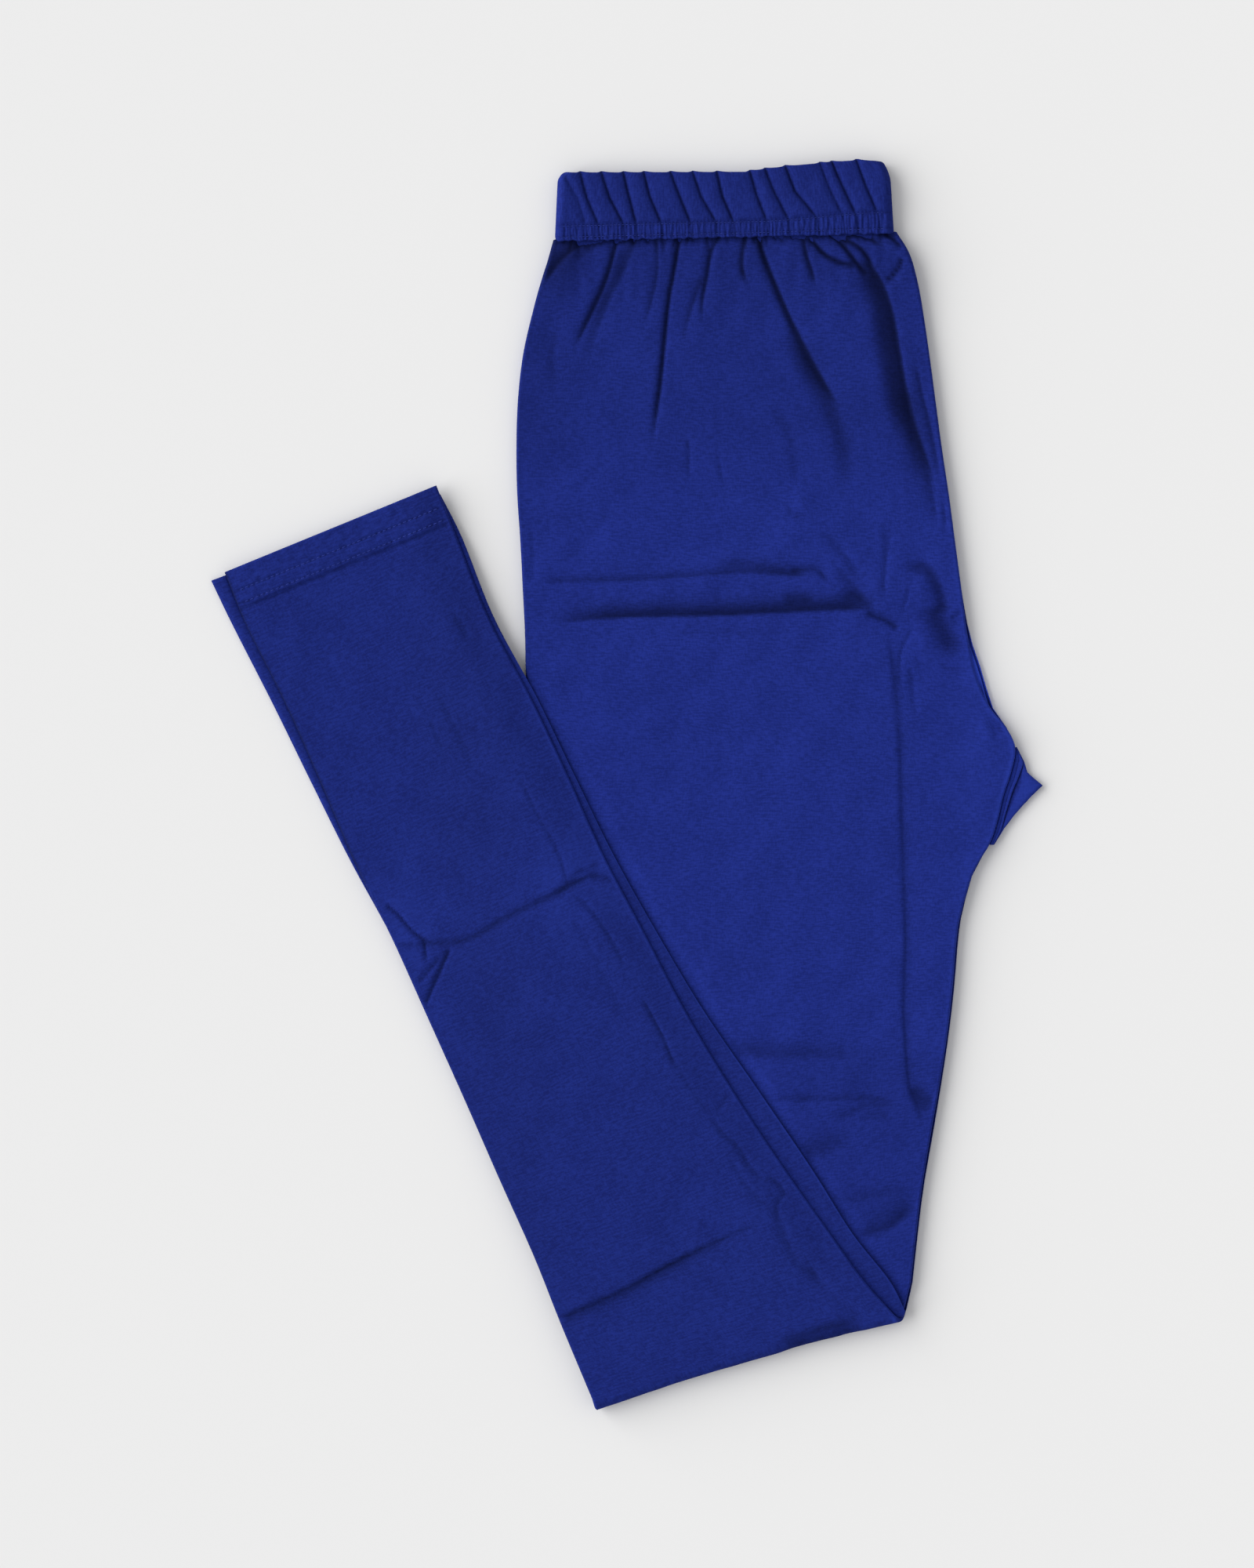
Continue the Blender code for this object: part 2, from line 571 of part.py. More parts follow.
def band_path():
    """(share of the width, inset from the end, height, outward x, outward z) along the waistband's open ring."""
    roll = BAND_HALF - 0.5 * GAP
    path = []
    for a in np.radians(BAND_TURN):
        inset, height = roll * (1 - np.cos(a)), 2 * BAND_HALF - roll * (1 - np.sin(a))
        path.append(("left", inset, height, -np.cos(a), np.sin(a)))
    for share in np.linspace(0.0, 1.0, BAND_STATIONS):
        path.append((share, 0.0, 2 * BAND_HALF, 0.0, 1.0))
    for a in np.radians([*reversed(BAND_TURN), *(-turn for turn in BAND_TURN[1:])]):
        inset, height = BAND_HALF * (1 - np.cos(a)), BAND_HALF * (1 + np.sin(a))
        path.append(("right", inset, height, np.cos(a), np.sin(a)))
    for share in np.linspace(1.0, 0.0, BAND_UNDER_STATIONS):
        path.append((share, 0.0, 0.0, 0.0, -1.0))
    for a in np.radians(BAND_TURN[::-1]):
        path.append(("left", roll * (1 - np.cos(a)), roll * (1 - np.sin(a)), -np.cos(a), -np.sin(a)))
    return path, roll


def band_point(station, roll, rise_share, depth):
    """A point of the waistband at this share of its height and depth under its outer face."""
    place, inset, z, out_x, out_z = station
    left = BAND_LOWER[0][0] + BAND_LEFT_SLANT * rise_share
    right = BAND_LOWER[1][0] - BAND_RIGHT_SLANT * rise_share
    if place == "left":
        x = left + inset
    elif place == "right":
        x = right - inset
    else:
        x = left + roll + (right - BAND_HALF - left - roll) * place
    on_top = out_z > 0.99
    low = np.interp(x, [BAND_LOWER[0][0], BAND_LOWER[1][0]], [BAND_LOWER[0][1], BAND_LOWER[1][1]])
    high = np.interp(x, [p.x for p in BAND_UPPER], [p.y for p in BAND_UPPER])
    rise = pleat_rise(x, rise_share) if on_top else 0.0
    if rise_share > 0.5:
        high += rise
    y = low + (high - low) * rise_share
    if depth == 0.0:
        z += rise
    return (x - out_x * depth, y, z - out_z * depth)


def build_waistband(material, collection):
    """The casing: its top ply, its turn at the right and its lower ply, with its left ends rolled over."""
    path, roll = band_path()
    outer = [[band_point(s, roll, share, d * BAND_WALL) for share, d in BAND_EDGES] for s in path]
    inner = [[band_point(s, roll, share, (1.0 - d) * BAND_WALL) for share, d in BAND_EDGES] for s in path]
    return add_solid("waistband", *wall_body(outer, inner), material, collection)


def build_crotch_gusset(material, collection):
    """The gusset's corner, folded double, its upper fold set back from the lower one."""
    outer, inner = [], []
    for row in GUSSET:
        step = min(row.upper_x, row.lower_x - 0.3)
        middle = 0.5 * (row.leg_x + step)
        profile = [
            (row.leg_x, 0.5 * GUSSET_UPPER_Z),
            (row.leg_x, 0.85 * GUSSET_UPPER_Z),
            (middle, GUSSET_UPPER_Z),
            (step - 0.1, 0.8 * GUSSET_UPPER_Z),
            (step, GUSSET_LOWER_Z),
            (row.lower_x - 0.1, 0.8 * GUSSET_LOWER_Z),
            (row.lower_x, 0.5 * GUSSET_LOWER_Z),
        ]
        outer.append([(x, row.y, z) for x, z in profile])
        flat = np.linspace(row.leg_x, row.lower_x - 0.1, len(profile))
        inner.append([(x, row.y, 0.0) for x in flat])
    return add_solid("crotch_gusset", *wall_body(outer, inner), material, collection)


def jersey(name, colour):
    """Matt cotton jersey in this colour."""
    material = bpy.data.materials.new(name)
    material.use_nodes = True
    shader = material.node_tree.nodes["Principled BSDF"]
    shader.inputs["Base Color"].default_value = colour
    shader.inputs["Roughness"].default_value = ROUGHNESS
    shader.inputs["Metallic"].default_value = METALLIC
    material.diffuse_color = colour
    return material


def main():
    clear_scene()
    collection = bpy.data.collections.new(COLLECTION)
    bpy.context.scene.collection.children.link(collection)
    build_waistband(jersey("waistband_jersey", BAND_COLOUR), collection)
    build_left_leg(jersey("left_leg_jersey", FRONT_COLOUR), collection)
    build_right_leg(jersey("right_leg_jersey", FRONT_COLOUR), collection)
    build_crotch_gusset(jersey("gusset_jersey", FRONT_COLOUR), collection)
    build_inner_layers(jersey("inner_jersey", FRONT_COLOUR), collection)


main()
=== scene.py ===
"""Churidar pants in royal blue jersey, folded flat on a pale floor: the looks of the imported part.

Tables and sizes are in millimetres, in the part's own frame: +X right, +Y towards the waist, +Z up.
"""

from __future__ import annotations

import logging
from dataclasses import dataclass
from enum import Enum
from typing import Callable, NamedTuple

import bpy
import numpy as np
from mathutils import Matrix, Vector


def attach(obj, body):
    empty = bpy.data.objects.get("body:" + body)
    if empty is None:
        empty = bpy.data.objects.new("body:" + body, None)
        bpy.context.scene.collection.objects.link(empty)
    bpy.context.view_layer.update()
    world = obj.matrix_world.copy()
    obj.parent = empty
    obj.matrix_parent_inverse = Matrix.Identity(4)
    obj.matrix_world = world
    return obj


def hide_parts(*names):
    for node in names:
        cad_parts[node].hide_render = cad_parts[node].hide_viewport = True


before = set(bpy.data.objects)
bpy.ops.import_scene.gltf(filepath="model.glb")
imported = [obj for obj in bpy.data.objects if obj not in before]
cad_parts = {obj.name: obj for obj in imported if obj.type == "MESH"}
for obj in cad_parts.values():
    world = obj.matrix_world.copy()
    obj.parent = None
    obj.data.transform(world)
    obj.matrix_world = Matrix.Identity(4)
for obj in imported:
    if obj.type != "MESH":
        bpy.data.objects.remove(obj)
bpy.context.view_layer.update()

log = logging.getLogger("churidar")

MM = 0.001
BODY = "root"
# Painted light along a shin's right edge, which eases the shadow that falls there: how much lighter the cloth
# is drawn, and how far in from the edge.
PAINTED_EDGE_LIGHT = 0.2
EDGE_RUN = 1.3
# Painted light on a lower ply where it shows past the legs' right edge, in the shade of the legs: how much
# lighter it is drawn.
PEEK_PAINTED_LIGHT = 0.7
PEEK_RUN = 0.6
# The y above which it shows, and how far it takes to do so in full.
PEEK_LOW = 20.0
PEEK_FADE = 10.0

Array = np.ndarray
Piece = bpy.types.Object
Rows = tuple[Array, ...]
Spacing = tuple[tuple[float, float], ...]
Height = Callable[[Array, Array], Array]


class Trough(Enum):
    """How a crease falls away from its line: the power of the distance."""

    SOFT = 2.0
    PRESSED = 1.25


class ThighLine(NamedTuple):
    """One line across the four plies of the thighs. under_x is the right leg's right edge."""

    left_x: float
    left_y: float
    right_x: float
    right_y: float
    under_x: float


class ShinLine(NamedTuple):
    """One line across the shins: the top one's ends and the under one's ends."""

    left_x: float
    left_y: float
    right_x: float
    right_y: float
    under_left_x: float
    under_left_y: float
    under_right_x: float
    under_right_y: float


class Pleat(NamedTuple):
    """A pleat line of the waistband: x at its upper end, middle and lower end, and how deep it is."""

    top_x: float
    middle_x: float
    low_x: float
    depth: float


class Corner(NamedTuple):
    """A row across the gusset's corner: the upper fold's edge and the lower fold's edge."""

    y: float
    upper_x: float
    lower_x: float


THIGH: list[ThighLine] = [ThighLine(*row) for row in (
    (-38, 275.4, 138, 279.4, 138), (-40, 268, 144, 270, 144), (-43.2, 258, 147.6, 258, 147.6),
    (-47.2, 244, 150.4, 244, 150.4), (-52.8, 220, 154, 220, 154), (-55.6, 196, 157.2, 196, 157.2),
    (-56.4, 172, 160.4, 172, 160.4), (-56, 148, 164, 148, 164), (-54.4, 124, 167.2, 124, 167.2),
    (-53.2, 100, 170.4, 100, 170.4), (-52, 76, 173.6, 76, 174.8), (-51.6, 56, 177.6, 56, 181.4),
    (-50.1, 40, 184.6, 40, 186), (-48.9, 28, 193.8, 28, 194), (-48, 18, 198, 18, 198),
    (-46.8, 6, 195.9, 6, 195.9), (-45.7, -6, 192, -6, 192), (-44.6, -18, 189.2, -18, 189.2),
    (-43.4, -30, 185.2, -30, 185.2), (-42.3, -42, 178, -42, 178), (-41.3, -52, 174.2, -52, 174.4),
    (-39.8, -68, 169.8, -68, 170.4), (-37.7, -90, 168, -80, 168.8), (-34.9, -120, 166, -104, 166.8),
    (-32, -150, 163.2, -128, 164), (-29.2, -180, 159.6, -152, 160.4), (-26.1, -212, 155.4, -176, 156.4),
    (-22.9, -246, 150.4, -206, 151.2), (-20, -276, 147.2, -232, 148), (-17.9, -298, 144.8, -254, 145.6),
)]

SHIN: list[ShinLine] = [ShinLine(*row) for row in (
    (-17.3, -313.8, 136, -270, -17.3, -313.8, 141.6, -268),
    (-24.8, -296, 120.4, -252.4, -24.8, -296, 133.6, -252.4),
    (-34.8, -272, 103.2, -228.4, -34.8, -272, 114.7, -228.4),
    (-47.6, -240, 80.4, -196, -47.6, -240, 94.3, -196), (-65.6, -200, 54, -156, -65.6, -200, 67.1, -156),
    (-83.2, -160, 30, -116, -83.2, -160, 39.6, -116), (-101.2, -120, 9, -76, -101.2, -120, 15.6, -76),
    (-119.2, -80, -12.4, -35.2, -119.2, -80, -7.2, -35.2),
    (-138.8, -40, -30.4, 4.8, -140.8, -40, -26.8, 4.8), (-156, 0, -49.4, 44.8, -160.8, 0, -46.2, 44.8),
    (-173.8, 40, -70.5, 84.8, -180.4, 40, -67.6, 84.8),
    (-193.8, 80, -86.5, 125.2, -200.8, 80, -83.8, 125.2),
    (-204.8, 107, -96.8, 151.2, -212, 103.2, -94.8, 147.2),
)]

PLEATS: list[Pleat] = [Pleat(*row) for row in (
    (-32.8, -25.2, -20.8, 0.5), (-24, -20.4, -14.4, 1.2), (-13.2, -8.8, -1.6, 1.3), (-2, 1.2, 4.8, 1.3),
    (8.4, 11.8, 17.6, 1.3), (22, 27, 32.4, 1.3), (33.2, 37.8, 45.6, 1.2), (45.6, 48.6, 54.4, 1.3),
    (62.4, 66, 71.2, 1.2), (70, 75.2, 82.4, 1.2), (80.4, 85.6, 97.2, 1.3), (98, 103.2, 110.4, 0.8),
    (104, 110.2, 117.2, 1.3), (116.4, 122, 128.4, 1.2),
)]

GUSSET: list[Corner] = [Corner(*row) for row in (
    (15.6, 200, 200.4), (11.2, 202, 202.6), (6, 200.6, 204.2), (2.4, 199.2, 208.2), (-0.8, 197.8, 212),
    (-4.4, 196.4, 208.2), (-8.8, 195, 204), (-16, 192.8, 197.4), (-22.8, 191, 192.2), (-28, 188.6, 189),
)]


def smoothstep(x: Array | float) -> Array:
    """0 to 1, with no slope at either end."""
    x = np.clip(x, 0.0, 1.0)
    return x * x * (3.0 - 2.0 * x)


def ramp(values: Array, start: Array | float, run: float) -> Array:
    """0 up to the start and 1 past the run; with a run below zero it rises towards lower values."""
    return smoothstep((values - start) / run)


def bell(values: Array, centre: Array | float, width: float) -> Array:
    """1 at the centre, falling away softly on both sides."""
    return np.exp(-(((values - centre) / width) ** 2))


def spline(table: Array, at: Array) -> Array:
    """Points of a smooth curve through the rows of a table.

    Args:
        table: One row for each knot.
        at: Where to read it, counted in rows.

    Returns:
        One row for each place asked for.
    """
    padded = np.vstack([2 * table[0] - table[1], table, 2 * table[-1] - table[-2]])
    i = np.clip(at.astype(int), 0, len(table) - 2)
    t = (at - i)[:, None]
    a, b, c, d = padded[i], padded[i + 1], padded[i + 2], padded[i + 3]
    return 0.5 * (2 * b + (c - a) * t + (2 * a - 5 * b + 4 * c - d) * t**2 + (3 * b - a - 3 * c + d) * t**3)


def widths(lines: Array) -> Array:
    """Length of each cross line."""
    return np.hypot(*(lines[:, 2:4] - lines[:, :2]).T)


def middles(lines: Array) -> Array:
    """Middle of each cross line."""
    return 0.5 * (lines[:, :2] + lines[:, 2:4])


def distances(points: Array) -> Array:
    """How far each point is from the first one, along the points."""
    return np.concatenate([[0.0], np.cumsum(np.hypot(*np.diff(points, axis=0).T))])


def weave_of(offset: Array, middle: Array) -> Array:
    """Weave coordinates of points: their offset across the leg, and how far down the leg their row is."""
    return np.dstack([offset, np.broadcast_to(-distances(middle)[:, None], offset.shape)])


def places(table: Array, spacing: Spacing) -> Array:
    """Where to read a table of cross lines so that neighbours are as far apart as asked.

    Args:
        table: Cross lines, each left x, left y, right x, right y.
        spacing: Pairs of a y and the distance wanted there, in millimetres, y rising.

    Returns:
        Places counted in rows, first and last included.
    """
    fine = np.linspace(0.0, len(table) - 1.0, 40 * len(table))
    middle = middles(spline(table, fine))
    wanted = np.interp(middle[:, 1], [s[0] for s in spacing], [s[1] for s in spacing])
    steps = np.hypot(*np.diff(middle, axis=0).T) / (0.5 * (wanted[1:] + wanted[:-1]))
    run = np.concatenate([[0.0], np.cumsum(steps)])
    return np.interp(np.linspace(0.0, run[-1], int(round(run[-1])) + 1), run, fine)


def undulation(x: Array, y: Array, wavelength: float, seed: int) -> Array:
    """Gentle uneven waves between about -1 and 1, the same on each run.

    Args:
        x: First coordinate of the points.
        y: Second coordinate.
        wavelength: Mean length of a wave, in millimetres.
        seed: Picks the pattern.

    Returns:
        The height at each point.
    """
    rng = np.random.default_rng(seed)
    total = np.zeros(np.broadcast(x, y).shape)
    waves = 14
    for _ in range(waves):
        angle, phase = rng.uniform(0, 2 * np.pi, 2)
        number = 2 * np.pi / (wavelength * rng.uniform(0.6, 1.7))
        total += np.sin(number * (x * np.cos(angle) + y * np.sin(angle)) + phase)
    return total / np.sqrt(waves)


class Wave(NamedTuple):
    """A layer of uneven waves in slack cloth: their height, their mean length and the pattern's seed."""

    height: float
    length: float
    seed: int


def slack_of(waves: tuple[Wave, ...], x: Array, y: Array) -> Array:
    """Height of these layers of waves together, at each point."""
    return sum(wave.height * undulation(x, y, wave.length, wave.seed) for wave in waves)


class Shade(NamedTuple):
    """A stretch of painted shade: how much darker, and the start and run of its ramps along y and along x."""

    amount: float
    along_y: tuple[float, float]
    along_x: tuple[float, float] | None = None

    def at(self, x: Array, y: Array) -> Array:
        """The shade at each point."""
        shade = self.amount * ramp(y, *self.along_y)
        return shade * ramp(x, *self.along_x) if self.along_x else shade


@dataclass(frozen=True)
class Crease:
    """A trough pressed or gathered into the cloth along a line.

    left and right are its half widths on either side, for a walker along the path: x, y, x, y and so on.
    """

    depth: float
    left: float
    right: float
    fade_in: float
    fade_out: float
    form: Trough
    path: tuple[float, ...]

    def line(self) -> Array:
        """Points along the crease, close together."""
        knots = np.array(self.path, float).reshape(-1, 2)
        return knots if len(knots) < 3 else spline(knots, np.linspace(0, len(knots) - 1, 5 * len(knots)))

    def press(self, x: Array, y: Array) -> Array:
        """How deep this crease is at each point.

        Args:
            x: Plan coordinate of the points.
            y: The other plan coordinate.

        Returns:
            Depths, zero away from the crease.
        """
        line = self.line()
        # Past this many half widths a crease is too shallow to matter.
        reach = 3.2 * max(self.left, self.right)
        low, high = line.min(axis=0) - reach, line.max(axis=0) + reach
        near = (x > low[0]) & (x < high[0]) & (y > low[1]) & (y < high[1])
        out = np.zeros(x.shape)
        px, py = x[near], y[near]
        if not px.size:
            return out
        best = np.full(px.shape, np.inf)
        side, along = np.zeros(px.shape), np.zeros(px.shape)
        lengths = np.hypot(*np.diff(line, axis=0).T)
        run = np.concatenate([[0.0], np.cumsum(lengths)])
        for (ax, ay), (bx, by), start, length in zip(line[:-1], line[1:], run, lengths):
            dx, dy = (bx - ax) / length, (by - ay) / length
            t = np.clip((px - ax) * dx + (py - ay) * dy, 0.0, length)
            distance = np.hypot(px - ax - t * dx, py - ay - t * dy)
            nearer = distance < best
            best[nearer] = distance[nearer]
            side[nearer] = (dx * (py - ay) - dy * (px - ax))[nearer]
            along[nearer] = (start + t)[nearer]
        width = np.where(side > 0, self.left, self.right)
        share = along / run[-1]
        ends = smoothstep(share / self.fade_in) if self.fade_in else np.ones(share.shape)
        ends = ends * (smoothstep((1.0 - share) / self.fade_out) if self.fade_out else 1.0)
        out[near] = self.depth * ends * np.exp(-((best / width) ** self.form.value))
        return out


def pressed(creases: list[Crease], x: Array, y: Array) -> Array:
    """Depth of all these creases together, at each point.

    Args:
        creases: The creases.
        x: Plan coordinate of the points.
        y: The other plan coordinate.

    Returns:
        The depths.
    """
    total = np.zeros(x.shape)
    for crease in creases:
        total += crease.press(x, y)
    return total


S, P = Trough.SOFT, Trough.PRESSED

# Each crease: depth, half widths at its left and right, shares that fade in and out, form and path.

# Gathers that run down from the waistband.
GATHERS: list[Crease] = [Crease(*row) for row in (
    (1.3, 1.2, 3, 0, 0.2, P, (-21, 277, -34, 266, -42, 255)),
    (0.6, 2, 3, 0, 0.6, S, (-13, 277, -22, 270, -30, 262)),
    (1.8, 0.8, 1.6, 0, 0.25, P, (-4.5, 278, -10, 258, -18, 240, -24.8, 226, -27.6, 220)),
    (0.8, 2, 4.5, 0, 0.6, S, (4, 277, -2, 262, -10, 246, -18, 224, -24.8, 200)),
    (0.8, 1, 2, 0, 0.4, P, (15.2, 277, 15.4, 260, 12, 244, 7.2, 228)),
    (2.1, 0.8, 1.5, 0, 0.25, P, (27, 278, 24, 260, 21.2, 244, 17.2, 204, 15.2, 190, 12.8, 170)),
    (1.6, 0.8, 1.4, 0, 0.4, P, (46.5, 278, 42.8, 270, 40.8, 258, 38.6, 246, 38.4, 232.8)),
    (0.8, 1.1, 2.2, 0.1, 0.5, P, (39.2, 259.2, 34, 246, 29.2, 228, 27.6, 218)),
    (1.6, 0.9, 1.8, 0, 0.3, P, (60.6, 280, 58.8, 268, 59.4, 260, 62.5, 253)),
    (2.4, 0.8, 1.8, 0, 0.22, P, (67, 280, 70, 268, 80, 244, 88, 227, 98, 208, 109.2, 190)),
    (0.9, 5, 5, 0.2, 0.3, S, (80, 236, 92, 212, 104, 190, 111, 165, 110, 140)),
    (0.7, 6, 6, 0.2, 0.2, S, (140, 204, 147, 178, 153, 152)),
    (1.6, 0.9, 1.8, 0, 0.3, P, (89.6, 280, 91.2, 270, 94.4, 260, 96.2, 252)),
    (2.3, 0.9, 1.3, 0, 0.1, P, (94, 277, 100, 270, 108, 265.5, 117, 263.6)),
    (2.3, 0.9, 1.2, 0, 0.1, P, (106.5, 278, 113, 270, 119, 262.5, 123, 259)),
    (2, 1, 1.4, 0, 0.2, P, (103.5, 281, 111, 277, 118.4, 272.8, 123, 267, 126, 260.5)),
    (1.9, 1.1, 1.4, 0, 0.3, P, (112, 280.5, 122, 278.6, 130, 273)),
    (2.1, 0.9, 5.4, 0.1, 0.3, P, (
        116, 268, 124, 263, 130, 254, 135, 240, 138.6, 220, 142.2, 200, 146, 184, 150, 172, 155, 158,
        159.5, 138)),
    (0.7, 4.5, 4.5, 0.1, 0.3, S, (122, 262, 128, 244, 132, 220, 136, 196, 140, 170)),
    (1.7, 1, 1.2, 0.1, 0.2, P, (140, 268, 138.5, 263, 134.5, 258, 130.5, 255)),
    (1.6, 1.1, 1.2, 0, 0.3, P, (130, 281, 135, 277.5, 141, 272)),
    (0.9, 0.9, 2, 0.2, 0.2, P, (146.4, 218, 150, 200, 153.6, 186, 157, 170, 160, 152)),
)]

# Folds pressed across the seat when the pants lay in a packet, and the wrinkles round them and by the crotch.
SEAT_FOLDS: list[Crease] = [Crease(*row) for row in (
    (1.2, 2.6, 0.9, 0.1, 0.1, P, (
        -47, 103.2, -16, 103.6, 12, 104.6, 40, 106.6, 60, 107.8, 78, 107.2, 92, 106.4, 98, 109)),
    (0.8, 4, 3, 0.3, 0.3, S, (40, 110, 60, 112, 80, 108.5, 96, 107)),
    (1.2, 2.4, 1.4, 0.2, 0.2, P, (82, 107.6, 93.4, 109.4, 98.6, 107.6, 102.4, 102)),
    (-0.5, 0.9, 0.9, 0.2, 0.3, P, (84, 102.4, 95, 99.6, 104.5, 96.8, 108, 98.6, 111.2, 101.4, 118, 98.4)),
    (2.6, 5.5, 0.9, 0.25, 0.08, P, (
        -48, 81.5, -8, 85, 20, 86, 48, 86.4, 80, 88, 100, 89, 120, 89.4, 127, 88.4)),
    (0.8, 4, 4, 0.3, 0.3, S, (78, 93.5, 88, 94.5, 97, 93)),
    (0.9, 4, 3, 0.3, 0.3, S, (108, 93, 114, 95.5, 121, 93, 128, 88)),
    (0.5, 2, 1.2, 0.2, 0.3, P, (20, 76.5, 50, 76.8, 74, 76.8, 90, 79)),
    (1.7, 2.2, 1.2, 0.2, 0.15, P, (120.5, 87.2, 131.3, 83.2, 139.1, 78.2)),
    (1.5, 3, 3.8, 0.3, 0.12, S, (139, 108, 147, 110.5, 153.5, 109, 157.6, 102, 160.5, 94, 161, 86)),
    (0.8, 0.9, 4, 0.2, 0.3, P, (152.5, 160, 156, 146, 158.4, 131)),
    (0.8, 0.8, 1, 0.3, 0.3, P, (160.4, 145, 161.8, 137, 162, 129)),
    (0.6, 0.9, 1.2, 0.3, 0.2, P, (165, 81, 171.4, 84.6)),
    (-0.6, 3, 3, 0.4, 0.4, S, (147, 104, 150, 97, 151, 91)),
    (-0.6, 3, 3.4, 0.4, 0.4, S, (148, 83, 151, 74, 153, 65)),
    (1.6, 5.2, 6.4, 0.15, 0.35, S, (157, 92, 158.5, 84, 163, 75, 171.5, 63.5)),
    (0.6, 2, 2.8, 0.3, 0.3, S, (104, 113, 111, 106, 118, 97, 124, 91)),
    (-0.5, 2.4, 2.4, 0.4, 0.4, S, (178, 38, 182, 30, 186, 19)),
    (0.5, 0.9, 1.4, 0.3, 0.3, P, (183, 36, 187, 28, 189, 20)),
    (0.6, 1.2, 1.4, 0.3, 0.3, S, (158, 62, 166, 58, 174, 60)),
    (0.7, 0.6, 0.8, 0.3, 0.3, P, (143.8, 103, 142.5, 94, 139.4, 86)),
    (0.8, 0.6, 0.8, 0.1, 0.3, P, (146, 80, 142.6, 74, 139.8, 68, 138.6, 56, 138.4, 44)),
    (0.8, 0.9, 1.2, 0.2, 0.2, P, (165, 84, 171.4, 88.4)),
    (0.9, 1, 1.6, 0.2, 0.3, P, (81.2, 140.6, 87, 136.4, 94, 135.4)),
    (0.7, 2, 2.8, 0.3, 0.4, S, (97, 130.5, 106, 122, 113, 113, 118, 105, 121, 97)),
    (0.7, 0.8, 2.6, 0.3, 0.2, P, (135.4, 136, 134, 124, 131.6, 110.6, 130.8, 92)),
    (0.8, 0.9, 1.2, 0.2, 0.3, P, (30.8, 178, 31.6, 168, 31.6, 154)),
    (-0.8, 5, 5, 0.4, 0.4, S, (84, 152, 90, 144, 96, 139)),
    (0.5, 1, 1.4, 0.3, 0.3, P, (46, 172, 48, 158, 52, 148)),
    (0.5, 3, 3.4, 0.3, 0.3, S, (70, 196, 82, 180, 86, 160, 84, 146)),
    (0.4, 2, 2.6, 0.3, 0.3, S, (-34, 236, -38, 218, -36, 196)),
    (0.4, 1.6, 2.2, 0.3, 0.3, S, (20, 150, 50, 148, 76, 152)),
    (0.35, 1.2, 1.8, 0.2, 0.2, P, (-46, 135.6, -10, 137, 40, 138.4, 62, 137)),
    (0.35, 1.4, 2, 0.3, 0.3, S, (-34, 110, -18, 128, -3, 148)),
    (0.5, 1.2, 2.2, 0.3, 0.1, P, (-48.4, 136, -47.8, 122, -47.6, 103)),
    (-0.7, 1.6, 1.6, 0.3, 0.3, S, (-12, 168, -22, 158, -34, 146)),
    (0.9, 0.9, 1.2, 0.2, 0.3, P, (144.6, 60, 145.4, 48, 145.6, 34)),
    (0.7, 1, 1.2, 0.2, 0.2, P, (189, 33, 190, 26)),
)]

# The crease pressed down the thigh, and the wrinkles low on it beside the shins.
THIGH_FOLDS: list[Crease] = [Crease(*row) for row in (
    (0.3, 0.8, 1.2, 0.3, 0.2, P, (131.6, 140, 132, 112, 132, 92)),
    (0.95, 3.4, 1.1, 0.1, 0.06, P, (
        132, 84, 135, 64, 137.4, 40, 139, 16, 140, -20, 141, -50, 142, -80, 141, -112, 142, -132,
        144, -154, 148, -164, 152, -176)),
    (0.9, 7, 3, 0.3, 0.3, S, (30, -134, 60, -136.5, 92, -138.5, 112, -138, 130, -137)),
    (-0.4, 1.4, 1.4, 0.3, 0.3, S, (80, -141, 96, -140, 108, -141.5)),
    (1.1, 1.8, 1, 0.3, 0.2, P, (66, -160, 92, -160.6, 112, -160, 140, -161)),
    (0.9, 1.4, 2.4, 0.2, 0.3, P, (104, -169.5, 112, -168, 122, -163.5, 134, -163, 142, -162.5)),
    (0.8, 1.2, 2.2, 0.3, 0.3, P, (118, -172, 128, -168, 138, -171)),
    (1.1, 5, 4.5, 0.3, 0.3, S, (146, -152, 151, -160, 157, -166)),
    (0.9, 6.5, 4.5, 0.4, 0.4, S, (76, -194, 92, -188, 106, -183, 122, -179)),
    (0.6, 4, 3, 0.3, 0.3, S, (106, -214, 126, -209, 145, -205)),
    (0.7, 6, 5, 0.3, 0.3, S, (118, -225, 134, -219, 150, -209)),
    (1.2, 3.4, 1.6, 0.2, 0.3, S, (116, -231, 132, -226.5, 140, -221, 148, -214)),
    (0.35, 6, 6, 0.3, 0.3, S, (40, -86, 60, -92, 84, -88)),
    (0.25, 5, 5, 0.3, 0.3, S, (60, -57, 52, -64, 46, -78)),
)]

